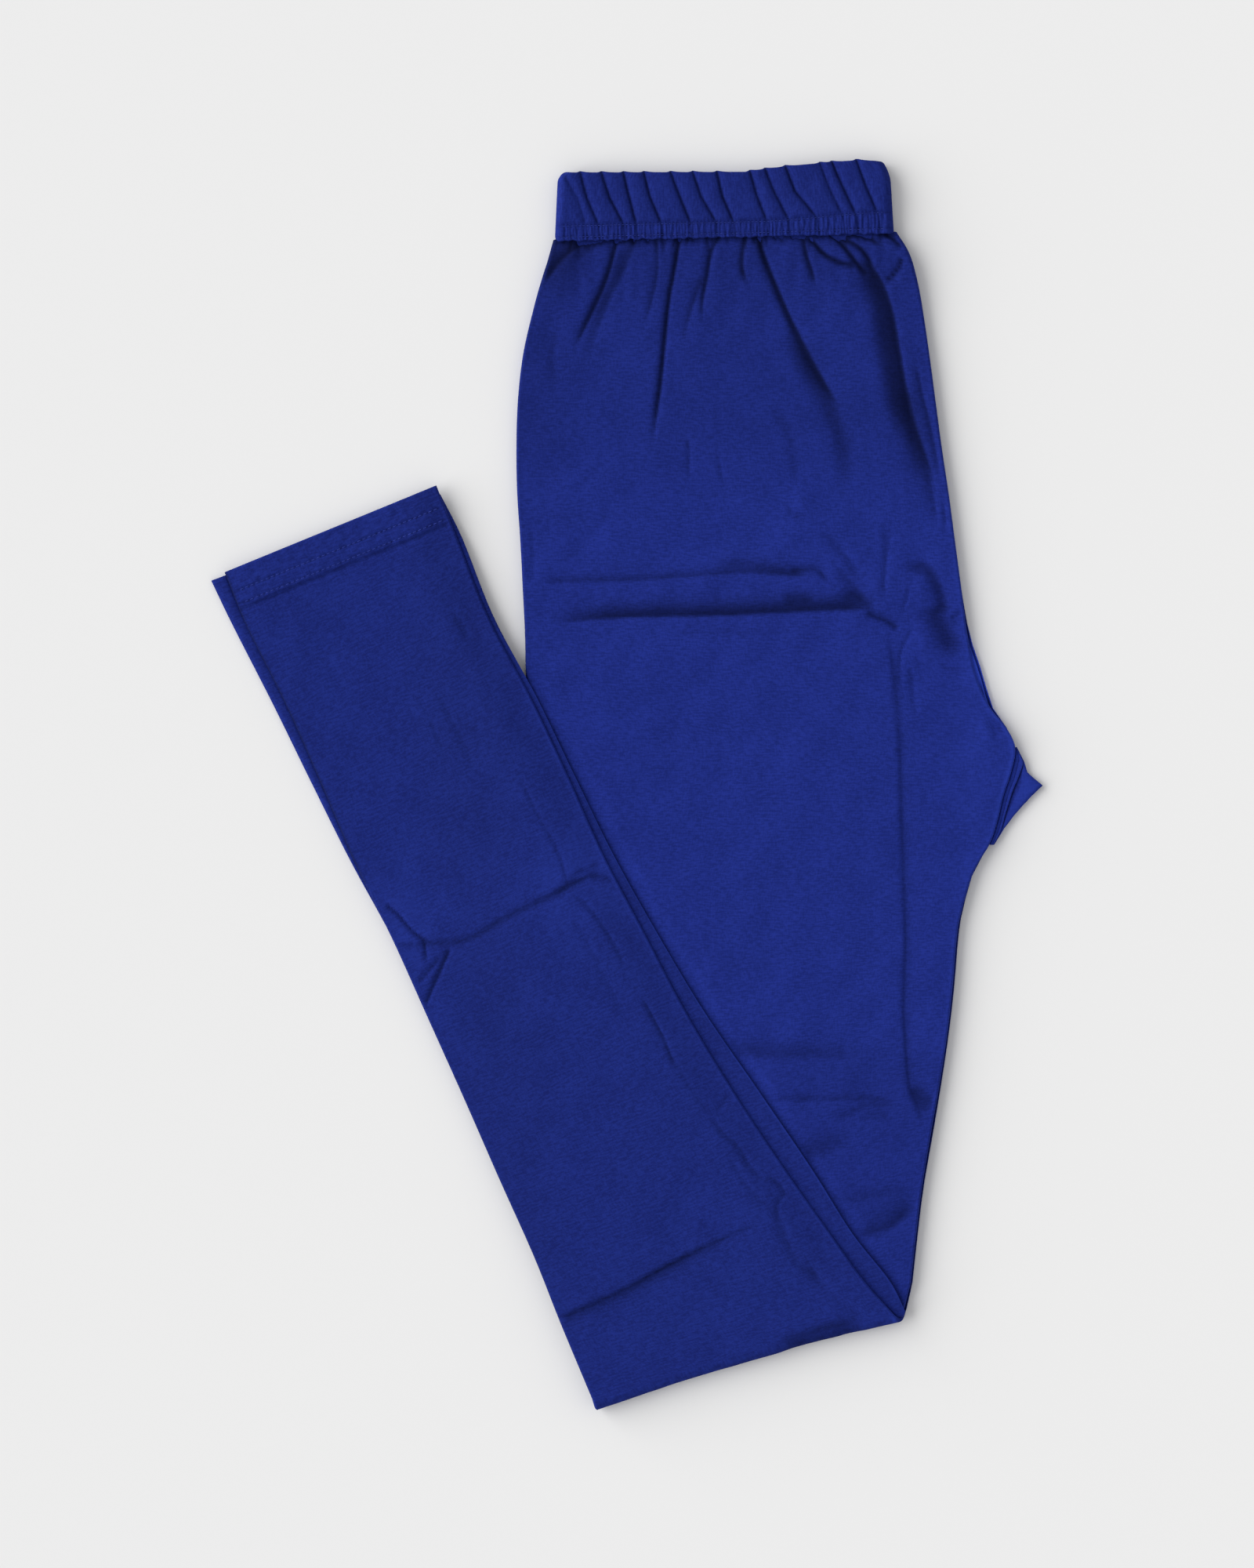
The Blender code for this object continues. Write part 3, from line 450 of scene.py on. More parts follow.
# Folds of the top shin.
SHIN_FOLDS: list[Crease] = [Crease(*row) for row in (
    (0.6, 2.2, 2.2, 0.3, 0.3, S, (-90, 88, -84, 80, -79, 72)),
    (0.5, 1.6, 2, 0.3, 0.3, S, (-98, 50, -90, 34, -82, 18, -76, 4)),
    (0.4, 1.2, 1.6, 0.3, 0.3, S, (-106, 46, -98, 28, -90, 8)),
    (1.1, 1.4, 2.2, 0.2, 0.1, S, (
        -104, -79.5, -92, -80.5, -80, -78.5, -60, -67, -40, -57.4, -26, -50, -18, -46.6)),
    (1.6, 0.6, 0.9, 0.04, 0.3, P, (-122.8, -61.2, -116, -67, -110, -74, -103, -79.5, -94, -81)),
    (0.8, 0.7, 0.9, 0.3, 0.2, P, (-40, -57.6, -30, -52, -24, -49, -17, -46.2, -12, -46.8)),
    (0.7, 0.7, 0.9, 0.2, 0.2, P, (-36, -56.5, -26, -46, -18, -42.5, -12, -38.5)),
    (0.7, 1.6, 1.8, 0.2, 0.2, S, (-20, -46.4, -10, -48, -3, -51)),
    (0.8, 0.8, 1.4, 0.2, 0.3, P, (-120, -82, -104, -81.6, -88, -80.6)),
    (1.4, 0.7, 1, 0.1, 0.3, P, (-103.5, -79, -102.8, -84, -102, -91)),
    (1.9, 0.7, 1.3, 0.1, 0.1, P, (-89.6, -83, -95, -95, -102.8, -113)),
    (1.3, 0.7, 1, 0.1, 0.2, P, (-95, -88, -101, -95, -107, -102)),
    (0.6, 0.8, 1.2, 0.2, 0.1, P, (-56, 8, -46, -14, -38, -28, -33, -40, -30, -52)),
    (0.8, 0.8, 1.4, 0.1, 0.2, P, (-28, -56, -20, -62, -11, -74, -4, -86, 0, -96)),
    (0.3, 1.2, 2.4, 0.2, 0.2, S, (-30, -64, -18, -84, -8, -104, 2, -124)),
    (1.2, 0.7, 1.2, 0.2, 0.2, P, (7, -107, 13, -118, 20, -132, 25, -146)),
    (0.45, 0.8, 2, 0.2, 0.2, P, (20, -132, 30, -150, 38, -162, 44, -170)),
    (0.9, 0.8, 2.4, 0.15, 0.3, P, (42, -168, 49, -177, 57, -184.5, 64, -196, 76, -205)),
    (0.5, 1.4, 1.6, 0.3, 0.3, S, (50, -184, 58, -200, 68, -212, 76, -220)),
    (1, 0.8, 1.8, 0.2, 0.2, P, (70, -198, 77, -203, 80, -208, 76, -215, 79, -222)),
    (0.7, 2.2, 3, 0.2, 0.3, S, (74, -214, 80, -230, 87, -243, 97, -252, 100, -258)),
    (0.35, 0.8, 1.2, 0.2, 0.2, P, (84, -232, 92, -243, 98, -253)),
    (0.4, 2, 2.6, 0.2, 0.2, S, (92, -238, 96, -250, 104, -260, 114, -268, 119, -276)),
    (1.7, 0.8, 4.2, 0.05, 0.5, P, (-34, -271.2, -20, -265, 0, -256, 20, -245, 40, -235, 60, -226, 70, -222)),
    (0.7, 0.7, 1, 0.3, 0.1, P, (0, -256, 20, -245, 40, -235, 60, -226, 70, -222)),
    (1.3, 3, 3, 0.25, 0.25, S, (74, -286, 90, -280.5, 104, -276, 122, -273)),
    (0.8, 0.7, 1, 0.2, 0.2, P, (84, -217, 96, -218.6, 104, -220, 111, -221.5)),
    (0.6, 0.8, 1.2, 0.2, 0.2, P, (44, -169, 52, -158, 60, -154)),
    (-0.35, 1.2, 1.2, 0.3, 0.3, S, (52, -172, 60, -177, 66, -183)),
    (-0.35, 1.2, 1.2, 0.3, 0.3, S, (80, -228, 88, -226, 95, -228)),
)]


@dataclass(frozen=True)
class Lay:
    """How the plies lie on each other."""

    ply: float = 1.0
    gap: float = 0.4
    flat_top: float = 4.8
    waist_top: float = 7.6
    waist_rise: float = 45.0
    waist_y: float = 276.0
    shin_drop: float = 5.2
    drop_run: float = 64.0
    fold_radius: float = 4.8
    fold_left: tuple[float, float] = (-16.0, -318.9)
    fold_right: tuple[float, float] = (144.0, -272.0)
    fold_bow: float = 2.4
    sag: float = 1.2
    sag_run: float = 24.0
    sag_low: float = -262.0
    sag_high: float = 152.0

    def thigh_left(self, y: Array) -> Array:
        """x of the thighs' left edge at each y."""
        knots = [self.fold_left] + [line[:2] for line in THIGH[::-1]]
        return np.interp(y, [k[1] for k in knots], [k[0] for k in knots])

    def shin_right(self, y: Array) -> Array:
        """x of the under shin's right edge at each y."""
        return np.interp(y, [r.under_right_y for r in SHIN], [r.under_right_x for r in SHIN])

    def top_right(self, y: Array) -> Array:
        """x of the top shin's right edge at each y."""
        return np.interp(y, [r.right_y for r in SHIN], [r.right_x for r in SHIN])

    def thigh_top(self, y: Array) -> Array:
        """Height of the four plies, which rises towards the waistband."""
        rise = ramp(y - self.waist_y, -self.waist_rise, self.waist_rise)
        return self.flat_top + (self.waist_top - self.flat_top) * rise

    def shin_base(self, x: Array, y: Array) -> Array:
        """Height of the shins, which sink to the floor past the thighs' left edge."""
        return 2 * self.fold_radius - self.shin_drop * smoothstep((self.thigh_left(y) - x) / self.drop_run)

    def edge_share(self, x: Array, y: Array) -> Array:
        """1 at the top shin's right edge, where fewer plies lie under it, and 0 away from it."""
        ends = ramp(y, self.sag_low, 40.0) * ramp(y, self.sag_high, -34.0)
        return smoothstep(1.0 - (self.top_right(y) - x) / self.sag_run) * ends

    def shin_top(self, x: Array, y: Array) -> Array:
        """Height of the top shin."""
        return self.shin_base(x, y) - self.sag * self.edge_share(x, y)

    def fold_axis(self) -> tuple[Array, Array, Array]:
        """The fold's axis.

        Returns:
            Its left end, its right end, and the direction out of the fold.
        """
        left, right = np.array(self.fold_left), np.array(self.fold_right)
        along = (right - left) / np.linalg.norm(right - left)
        outward = np.array([along[1], -along[0]])
        return left - outward * self.fold_radius, right - outward * self.fold_radius, outward


LAY = Lay()


def across(lines: Array, distance: Array, bow: Array) -> tuple[Array, Array]:
    """Plan coordinates of points on cross lines.

    Args:
        lines: One row for each line: left x, left y, right x, right y.
        distance: How far the points are from each line's left end, one row for each line.
        bow: How far each line bows towards the waist.

    Returns:
        x and y, each shaped as distance.
    """
    share = distance / widths(lines)[:, None]
    x = lines[:, :1] + (lines[:, 2:3] - lines[:, :1]) * share
    y = lines[:, 1:2] + (lines[:, 3:4] - lines[:, 1:2]) * share + 4 * bow[:, None] * share * (1 - share)
    return x, y


def ply_ring(
    width: Array, roll: Array, shares: Array, wall: float = 0.9, squeeze: float = 1.0,
    turns: int = 7, inner: int = 14,
) -> tuple[Array, Array, Array]:
    """Closed cross-sections of one ply: its face, both edges rolled over, and its inner side.

    Args:
        width: Width of each section.
        roll: Radius of its edges.
        shares: Where the points across the flat part lie, 0 to 1, one row for each section.
        wall: Thickness of the ply.
        squeeze: How wide an edge is for its height.
        turns: Number of faces round an edge.
        inner: Number of faces across the inner side.

    Returns:
        Distance from the left edge, depth under the face, and which columns are the face.
    """
    angle = np.linspace(0.0, np.pi / 2, turns + 1)
    width, roll = width[:, None], roll[:, None]
    reach = squeeze * roll
    edge, depth = reach * (1 - np.cos(angle)), roll * (1 - np.sin(angle))
    middle = reach + (width - 2 * reach) * shares[:, 1:-1]
    turn = np.linspace(0.0, np.pi / 2, 4)
    small = roll - wall
    inner_edge, inner_depth = reach - squeeze * small * np.cos(turn), roll - small * np.sin(turn)
    flat = reach + (width - 2 * reach) * np.linspace(1.0, 0.0, inner + 1)[1:-1]
    lip, lip_depth = squeeze * wall * np.array([[0.2, 0.8]]), roll + 0.14 * wall * np.ones((1, 2))
    distance = np.hstack([
        edge, middle, (width - edge)[:, ::-1],
        width - lip, width - inner_edge, flat, inner_edge[:, ::-1], lip[:, ::-1] + 0 * width, edge[:, :1],
    ])
    deep = np.hstack([
        depth, 0 * middle, depth[:, ::-1],
        lip_depth, inner_depth, wall + 0 * flat, inner_depth[:, ::-1], lip_depth, depth[:, :1],
    ])
    face = np.zeros(distance.shape[1], bool)
    face[: edge.shape[1] * 2 + middle.shape[1]] = True
    return distance, deep, face


def even(rows: int, columns: int) -> Array:
    """Evenly spaced shares across each of the rows."""
    return np.broadcast_to(np.linspace(0.0, 1.0, columns + 1), (rows, columns + 1))


def denser(width: Array, hidden: Array, columns: int, thin: float = 0.12) -> Array:
    """Shares across each row, sparse over the stretch at the left that another ply hides.

    Args:
        width: Width of each row.
        hidden: How much of it is hidden.
        columns: Number of faces across.
        thin: How sparse the hidden stretch is.

    Returns:
        Shares, one row for each row.
    """
    hidden = np.clip(hidden, 0.0, 0.8 * width)[:, None]
    width = width[:, None]
    run = np.linspace(0.0, 1.0, columns + 1) * (thin * hidden + width - hidden)
    return np.where(run < thin * hidden, run / thin, hidden + run - thin * hidden) / width


def deselect() -> None:
    """Leaves nothing selected, as the loaded frame is."""
    for thing in bpy.context.selected_objects:
        thing.select_set(False)


def skin(weld: float | None = None) -> None:
    """Turns the active piece's faces outward and smooths them.

    Args:
        weld: Points closer than this are joined first and holes are shut; None leaves them.
    """
    bpy.ops.object.mode_set(mode="EDIT")
    bpy.ops.mesh.select_all(action="SELECT")
    if weld is not None:
        bpy.ops.mesh.remove_doubles(threshold=weld)
        bpy.ops.mesh.select_all(action="SELECT")
        bpy.ops.mesh.fill_holes(sides=0)
        bpy.ops.mesh.select_all(action="SELECT")
    bpy.ops.mesh.normals_make_consistent(inside=False)
    bpy.ops.object.mode_set(mode="OBJECT")
    bpy.ops.object.shade_smooth()


@dataclass
class Cloth:
    """Rows of points round a closed section, turned into a piece of the garment.

    Its attribute of painted shade and light darkens the cloth where it is above zero and lightens it where it
    is below. It comes from how deep a crease is, up to most_shade, and from the piece's tone, which is
    painted shade and light too.
    """

    name: str
    points: Array
    weave: Array
    painted_shading: Array | None = None
    tone: Array | float = 0.0
    most_shade: float = 0.8
    shade_depth: float = 1.5
    shade_power: float = 1.5
    weld: float = 0.000002

    def build(self) -> Piece:
        """Adds a grid, lays it over the points and shuts it into one skin.

        Returns:
            The piece, at the origin.
        """
        rows, columns = self.points.shape[:2]
        deselect()
        bpy.ops.mesh.primitive_grid_add(x_subdivisions=columns - 1, y_subdivisions=rows - 1, size=2.0)
        piece = bpy.context.object
        piece.name = piece.data.name = self.name
        mesh = piece.data
        flat = np.empty(len(mesh.vertices) * 3, np.float32)
        mesh.vertices.foreach_get("co", flat)
        flat = flat.reshape(-1, 3)
        column = np.rint((flat[:, 0] + 1) / 2 * (columns - 1)).astype(int)
        row = np.rint((flat[:, 1] + 1) / 2 * (rows - 1)).astype(int)
        mesh.vertices.foreach_set("co", (self.points[row, column] * MM).astype(np.float32).ravel())
        corner = np.empty(len(mesh.loops), np.int32)
        mesh.loops.foreach_get("vertex_index", corner)
        weave = (self.weave[row, column] * MM).astype(np.float32)
        mesh.uv_layers[0].name = "weave"
        mesh.uv_layers["weave"].data.foreach_set("uv", weave[corner].ravel())
        # Painted shade from each crease's depth, with the piece's tone of painted shade and light laid over
        # it.
        depth = np.zeros((rows, columns)) if self.painted_shading is None else self.painted_shading
        mesh.attributes.new("painted_shading", "FLOAT", "POINT")
        fullness = (np.maximum(depth, 0.0) / self.shade_depth) ** self.shade_power
        shade = self.most_shade * (1 - np.exp(-fullness))
        shade = shade + self.tone * (1 - shade)
        mesh.attributes["painted_shading"].data.foreach_set("value", shade[row, column].astype(np.float32))
        mesh.update()
        skin(self.weld)
        return piece


def linear(code: str, alpha: float = 1.0) -> tuple[float, float, float, float]:
    """A colour for a shader.

    Args:
        code: sRGB colour as six hex digits.
        alpha: Fourth number.

    Returns:
        Linear red, green, blue and alpha.
    """
    values = [int(code[i : i + 2], 16) / 255 for i in (0, 2, 4)]
    r, g, b = (v / 12.92 if v <= 0.04045 else ((v + 0.055) / 1.055) ** 2.4 for v in values)
    return r, g, b, alpha


def node(
    tree: bpy.types.NodeTree, kind: str, settings: dict | None = None, links: dict | None = None
) -> bpy.types.Node:
    """Adds one node.

    Args:
        tree: Where to add it.
        kind: Its type, such as ShaderNodeMath.
        settings: Attribute names, or socket names or numbers, and their values.
        links: Socket names or numbers, and the output sockets joined to them.

    Returns:
        The node.
    """
    made = tree.nodes.new(kind)
    for key, value in (settings or {}).items():
        if isinstance(key, str) and hasattr(made, key):
            setattr(made, key, value)
        else:
            made.inputs[key].default_value = value
    for key, output in (links or {}).items():
        tree.links.new(output, made.inputs[key])
    return made


def surface(name: str, finish: dict) -> tuple[bpy.types.Material, bpy.types.NodeTree, bpy.types.Node]:
    """Adds one material.

    Args:
        name: Its name.
        finish: Names of the shader's sockets and their values.

    Returns:
        The material, its node tree and its shader.
    """
    made = bpy.data.materials.new(name)
    made.use_nodes = True
    shader = made.node_tree.nodes["Principled BSDF"]
    for key, value in finish.items():
        shader.inputs[key].default_value = value
    return made, made.node_tree, shader


@dataclass(frozen=True)
class Jersey:
    """Single jersey knitted from slubby cotton and viscose with a little elastane, piece dyed.

    The eye sees a matt deep blue, speckled with short fine lines across the leg where the yarn is thicker,
    slightly uneven in tone; painted shade makes the bottoms of its creases nearly black, and painted light
    makes some stretches lighter. The slubs and the knit's columns are drawn about twice as coarse as real
    ones, so that they show from where the photo was taken.
    """

    name: str
    light: str = "213088"
    dark: str = "192671"
    # deep is painted shade, mixed in at the creases and wherever a piece paints shade; thin is painted light,
    # mixed in where the attribute is below zero.
    deep: str = "04060F"
    thin: str = "3A55D8"
    fuzz: str = "5A6FD0"
    slub_length: float = 3.8
    slub_pitch: float = 0.95
    wale_length: float = 2.2
    wale_pitch: float = 0.9
    patch: float = 20.0
    wale_share: float = 0.4
    patch_share: float = 0.16
    tone_ends: tuple[float, float] = (0.42, 0.58)
    layers: float = 3.0
    layer_weight: float = 0.6
    bump: float = 0.35
    bump_height: float = 0.0003
    roughness: float = 0.95
    gloss: float = 0.05
    sheen: float = 0.04
    sheen_roughness: float = 0.6

    def streaks(self, tree: bpy.types.NodeTree, across: float, along: float) -> bpy.types.NodeSocket:
        """Noise stretched to a size in the weave.

        Args:
            tree: Where to add it.
            across: Length of a streak across the leg, in millimetres.
            along: Its length along the leg.

        Returns:
            The noise's value.
        """
        weave = node(tree, "ShaderNodeUVMap", {"uv_map": "weave"})
        scale = (1.0 / (across * MM), 1.0 / (along * MM), 1.0)
        sized = node(tree, "ShaderNodeMapping", {"Scale": scale}, {"Vector": weave.outputs["UV"]})
        settings = {"Scale": 1.0, "Detail": self.layers, "Roughness": self.layer_weight}
        return node(tree, "ShaderNodeTexNoise", settings, {"Vector": sized.outputs[0]}).outputs["Fac"]

    def material(self) -> bpy.types.Material:
        """The material, which reads the piece's own weave coordinates and its attribute of painted shade and
        light.

        Returns:
            The material.
        """
        made, tree, shader = surface(self.name, {
            "Roughness": self.roughness, "Specular IOR Level": self.gloss, "Sheen Weight": self.sheen,
            "Sheen Roughness": self.sheen_roughness, "Sheen Tint": linear(self.fuzz),
        })
        slubs = self.streaks(tree, self.slub_length, self.slub_pitch)
        wales = self.streaks(tree, self.wale_pitch, self.wale_length)
        patches = self.streaks(tree, self.patch, self.patch)
        mix, colours = {"data_type": "FLOAT"}, {"data_type": "RGBA"}
        blend = {**mix, "Factor": self.wale_share}
        yarn = node(tree, "ShaderNodeMix", blend, {"A": slubs, "B": wales}).outputs[0]
        blend = {**mix, "Factor": self.patch_share}
        tone = node(tree, "ShaderNodeMix", blend, {"A": yarn, "B": patches}).outputs[0]
        ends = dict(zip(("From Min", "From Max"), self.tone_ends))
        spread = node(tree, "ShaderNodeMapRange", ends, {"Value": tone}).outputs[0]
        yarns = {**colours, 6: linear(self.dark), 7: linear(self.light)}
        dyed = node(tree, "ShaderNodeMix", yarns, {"Factor": spread}).outputs[2]
        # Painted shade: the attribute mixes the dyed colour towards deep, near black.
        painted_shading = node(tree, "ShaderNodeAttribute", {"attribute_name": "painted_shading"}).outputs["Fac"]
        shaded = {**colours, 7: linear(self.deep)}
        creased = node(tree, "ShaderNodeMix", shaded, {"Factor": painted_shading, 6: dyed}).outputs[2]
        # Below zero the attribute is painted light: its negative mixes in thin, a lighter blue.
        through = node(tree, "ShaderNodeMath", {"operation": "MULTIPLY", 1: -1.0}, {0: painted_shading}).outputs[0]
        lit = node(tree, "ShaderNodeMix", {**colours, 7: linear(self.thin)}, {"Factor": through, 6: creased})
        tree.links.new(lit.outputs[2], shader.inputs["Base Color"])
        relief = {"Strength": self.bump, "Distance": self.bump_height}
        bump = node(tree, "ShaderNodeBump", relief, {"Height": yarn})
        tree.links.new(bump.outputs[0], shader.inputs["Normal"])
        return made


@dataclass(frozen=True)
class Thread:
    """Spun polyester sewing thread dyed to match: a little smoother than the cloth, so each stitch shows."""

    name: str = "spun_polyester_thread"
    colour: str = "2E40A0"
    shadow: str = "1C2A72"
    twist_scale: float = 2500.0
    roughness: float = 0.6
    gloss: float = 0.2

    def material(self) -> bpy.types.Material:
        """The material, with a faint twist along the thread.

        Returns:
            The material.
        """
        finish = {"Roughness": self.roughness, "Specular IOR Level": self.gloss}
        made, tree, shader = surface(self.name, finish)
        place = node(tree, "ShaderNodeTexCoord").outputs["Object"]
        twist = {"Scale": self.twist_scale, "Detail": 1.0}
        grain = node(tree, "ShaderNodeTexNoise", twist, {"Vector": place}).outputs["Fac"]
        colours = {"data_type": "RGBA", 6: linear(self.shadow), 7: linear(self.colour)}
        tone = node(tree, "ShaderNodeMix", colours, {"Factor": grain})
        tree.links.new(tone.outputs[2], shader.inputs["Base Color"])
        return made


@dataclass(frozen=True)
class Paper:
    """Matt seamless paper: an even pale grey, with no shine."""

    name: str = "seamless_paper"
    colour: str = "ECECEC"
    grain_scale: float = 900.0
    grain: float = 0.02
    grain_height: float = 0.0002

    def material(self) -> bpy.types.Material:
        """The material, with a trace of paper grain.

        Returns:
            The material.
        """
        finish = {"Base Color": linear(self.colour), "Roughness": 1.0, "Specular IOR Level": 0.0}
        made, tree, shader = surface(self.name, finish)
        place = node(tree, "ShaderNodeTexCoord").outputs["Object"]
        size = {"Scale": self.grain_scale}
        noise = node(tree, "ShaderNodeTexNoise", size, {"Vector": place}).outputs["Fac"]
        relief = {"Strength": self.grain, "Distance": self.grain_height}
        bump = node(tree, "ShaderNodeBump", relief, {"Height": noise})
        tree.links.new(bump.outputs[0], shader.inputs["Normal"])
        return made


def dress(
    piece: Piece, material: bpy.types.Material, nodes: tuple[str, ...] = (),
) -> None:
    """Gives a piece its material and its place in the frame.

    Args:
        piece: The piece.
        material: Its material.
        nodes: CAD nodes that it stands for.
    """
    piece.data.materials.clear()
    piece.data.materials.append(material)
    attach(piece, BODY)
    if nodes:
        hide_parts(*nodes)
    log.info("%s: %d faces", piece.name, len(piece.data.polygons))


def lines_of(kind: str) -> Array:
    """Cross lines of the shins: the top one's for an empty kind, the under one's for under_."""
    names = ("left_x", "left_y", "right_x", "right_y")
    return np.array([[getattr(line, kind + name) for name in names] for line in SHIN])


@dataclass
class LeftLeg:
    """The ply that shows from the waistband down: the back of the left leg."""

    columns: int = 262
    spacing: Spacing = (
        (-330.0, 6.0), (-260.0, 4.0), (-236.0, 2.0), (-128.0, 2.0), (-118.0, 3.4), (-40.0, 3.4),
        (-34.0, 1.7), (28.0, 1.7), (36.0, 3.2), (54.0, 3.2), (62.0, 1.1),
        (112.0, 1.0), (118.0, 2.8), (170.0, 2.8), (180.0, 1.9), (262.0, 1.9), (268.0, 1.2), (290.0, 1.2),
    )
    puff: float = 1.2
    run: float = 12.0
    clear_run: float = 9.0
    squeeze: float = 0.6
    steepness: float = 0.75
    dip: float = 2.4
    dip_run: float = 6.0
    under_band: float = 1.8
    margin: float = 3.0
    deepest: float = 0.4
    hidden_below: float = 56.0
    overlap: float = 12.0
    clear_above: float = 60.0
    # Painted shade along the left edge and under the waistband's lower edge.
    rim_shade: float = 0.8
    rim_run: float = 2.2
    band_shade: float = 0.5
    band_run: float = 1.8
    # Painted shade added to the creases near the waistband's gathers.
    gather_shade: float = 0.6
    gather_low: float = 150.0
    gather_run: float = 60.0
    gather_ends: tuple[float, float] = (-36.0, 137.0)
    gather_bulge: float = 0.5
    gather_reach: float = 24.0
    gather_wave: Wave = Wave(0.45, 12.0, 7)
    waves: tuple[Wave, ...] = (Wave(0.36, 75.0, 3), Wave(0.20, 28.0, 5), Wave(0.03, 9.0, 6))
    # Stretches of painted shade: near the waist where the cloth is gathered, at its left side and corner, and
    # low on the thigh.
    shades: tuple[Shade, ...] = (
        Shade(0.13, (130.0, 60.0)),
        Shade(0.12, (235.0, 40.0)),
        Shade(0.08, (110.0, 40.0), (-20.0, -25.0)),
        Shade(0.30, (240.0, 30.0), (-14.0, -20.0)),
        Shade(0.10, (-128.0, -20.0), (60.0, 30.0)),
    )
    # Painted light by the crotch, and along the right edge near it.
    crotch_light: float = 0.04
    crotch_y: float = 20.0
    crotch_reach: float = 110.0
    lip_light: float = 0.14
    lip_more: float = 0.2
    lip_y: float = 8.0
    lip_reach: float = 30.0
    lip_run: float = 2.0
    seed: int = 11

    def creases(self) -> list[Crease]:
        """All creases of this ply: those seen, and short uneven gathers right under the waistband.

        Returns:
            The creases.
        """
        rng = np.random.default_rng(self.seed)
        small, x = [], self.gather_ends[0]
        while x < self.gather_ends[1]:
            length = rng.uniform(3.5, 12.0)
            lean = rng.uniform(-0.35, 0.25) * length
            y = float(self.band_line(np.array(x))) + 1.0
            path = (x, y, x + 0.5 * lean, y - 0.5 * length, x + lean, y - length)
            sides = rng.uniform(0.7, 1.1), rng.uniform(0.8, 1.6)
            small.append(Crease(rng.uniform(0.4, 1.2), *sides, 0.0, 0.7, P, path))
            x += rng.uniform(2.2, 4.8)
        return GATHERS + SEAT_FOLDS + THIGH_FOLDS + small

    def billow(self, x: Array, y: Array) -> Array:
        """Slack of the cloth between its creases, which grows towards the gathers.

        Args:
            x: Plan coordinate of the points.
            y: The other plan coordinate.

        Returns:
            Its height.
        """
        gathered = np.exp(-(LAY.waist_y + 4.0 - y) / self.gather_reach)
        # The gathers' own waves run down the leg, four times as long as they are wide.
        return slack_of(self.waves, x, y) + gathered * (
            self.gather_bulge + slack_of((self.gather_wave,), x, 0.25 * y)
        )

    @staticmethod
    def band_line(x: Array) -> Array:
        """y of the waistband's lower edge at each x."""
        return 276.0 + 4.0 * (x + 36.8) / 172.8

    def build(self) -> Piece:
        """Lays the sheet out from the waistband to the fold.

        Returns:
            The piece.
        """
        table = np.array([line[:4] for line in THIGH])
        table[0] += (0.4, self.under_band, -0.4, self.under_band)
        lines = spline(table, places(table, self.spacing))
        left, right, outward = LAY.fold_axis()
        end = np.concatenate([left - outward * 0.4 + (1.0, 0.0), right - outward * 0.4 - (1.0, 0.0)])
        lines = np.vstack([lines, end])
        bow = np.zeros(len(lines))
        bow[-2:] = 0.5 * LAY.fold_bow, LAY.fold_bow
        width, middle = widths(lines), middles(lines)
        # The shin's edge crosses each line at about its own height; lines tilt less than 20 degrees.
        reach = LAY.shin_right(middle[:, 1]) - lines[:, 0] - self.overlap
        hidden = np.where(middle[:, 1] < self.hidden_below, reach, 0.0)
        shares = denser(width, smooth_row(hidden), self.columns)
        roll = 0.5 * (LAY.thigh_top(middle[:, 1]) - LAY.gap)
        distance, depth, face = ply_ring(width, roll, shares, squeeze=self.squeeze)
        x, y = across(lines, distance, bow)
        edge = np.minimum(distance, width[:, None] - distance)
        clear = np.where(y < self.clear_above, (x - LAY.shin_right(y) - 1.0) / self.clear_run, 1.0)
        lift = smoothstep(clear) * face
        free = smoothstep(edge / self.margin) * smoothstep(3.0 * clear) * face
        trough = pressed(self.creases(), x, y) * free
        below = np.maximum(self.band_line(x) - y, 0.0)
        dip = self.dip * smoothstep(1.0 - below / self.dip_run)
        slack = self.billow(x, y) * smoothstep(edge / self.run)
        relief = (self.puff * (1 - depth / roll[:, None]) + slack) * lift - self.steepness * trough
        z = LAY.thigh_top(y) - depth - dip + np.maximum(relief, -self.deepest * face)
        weave = weave_of(distance - 0.5 * width[:, None], middle)
        # Painted shade in the creases, more in the gathers by the waistband, and along the left edge and
        # under the waistband.
        rim = self.rim_shade * bell(distance, 0.0, self.rim_run)
        shaded = trough * (1 + self.gather_shade * ramp(y, self.gather_low, self.gather_run))
        painted_shading = shaded + face * (self.band_shade * bell(below, 0.0, self.band_run) + rim)
        return Cloth("left_leg_cloth", np.dstack([x, y, z]), weave, painted_shading, self.tone(x, y, edge)).build()

    def tone(self, x: Array, y: Array, edge: Array) -> Array:
        """Painted shade where the cloth is gathered or slack, and painted light by the crotch and along the
        right edge.

        Args:
            x: Plan coordinate of the points.
            y: The other plan coordinate.
            edge: How far each point is from the nearer edge.

        Returns:
            The painted shade, below zero where it is painted light.
        """
        dark = sum(shade.at(x, y) for shade in self.shades)
        crotch = self.crotch_light * ramp(x, 150.0, 26.0)
        crotch = crotch * smoothstep(1.0 - np.abs(y - self.crotch_y) / self.crotch_reach)
        lip = self.lip_light + self.lip_more * bell(y, self.lip_y, self.lip_reach)
        lip = lip * bell(edge, 0.0, self.lip_run) * ramp(x, 120.0, 20.0)
        return dark - crotch - lip


def smooth_row(values: Array, reach: int = 9) -> Array:
    """Values evened out along the rows."""
    kernel = np.ones(reach) / reach
    return np.convolve(np.pad(values, reach // 2, mode="edge"), kernel, mode="valid")


def painted_light_past_legs(x: Array, y: Array) -> Array:
    """Painted light on a lower ply where it shows past the legs' right edge, above the crotch, in the shade
    of the legs.
    """
    return PEEK_PAINTED_LIGHT * (ramp(x, CrotchGusset.leg_edge(y), PEEK_RUN) * ramp(y, PEEK_LOW, PEEK_FADE))


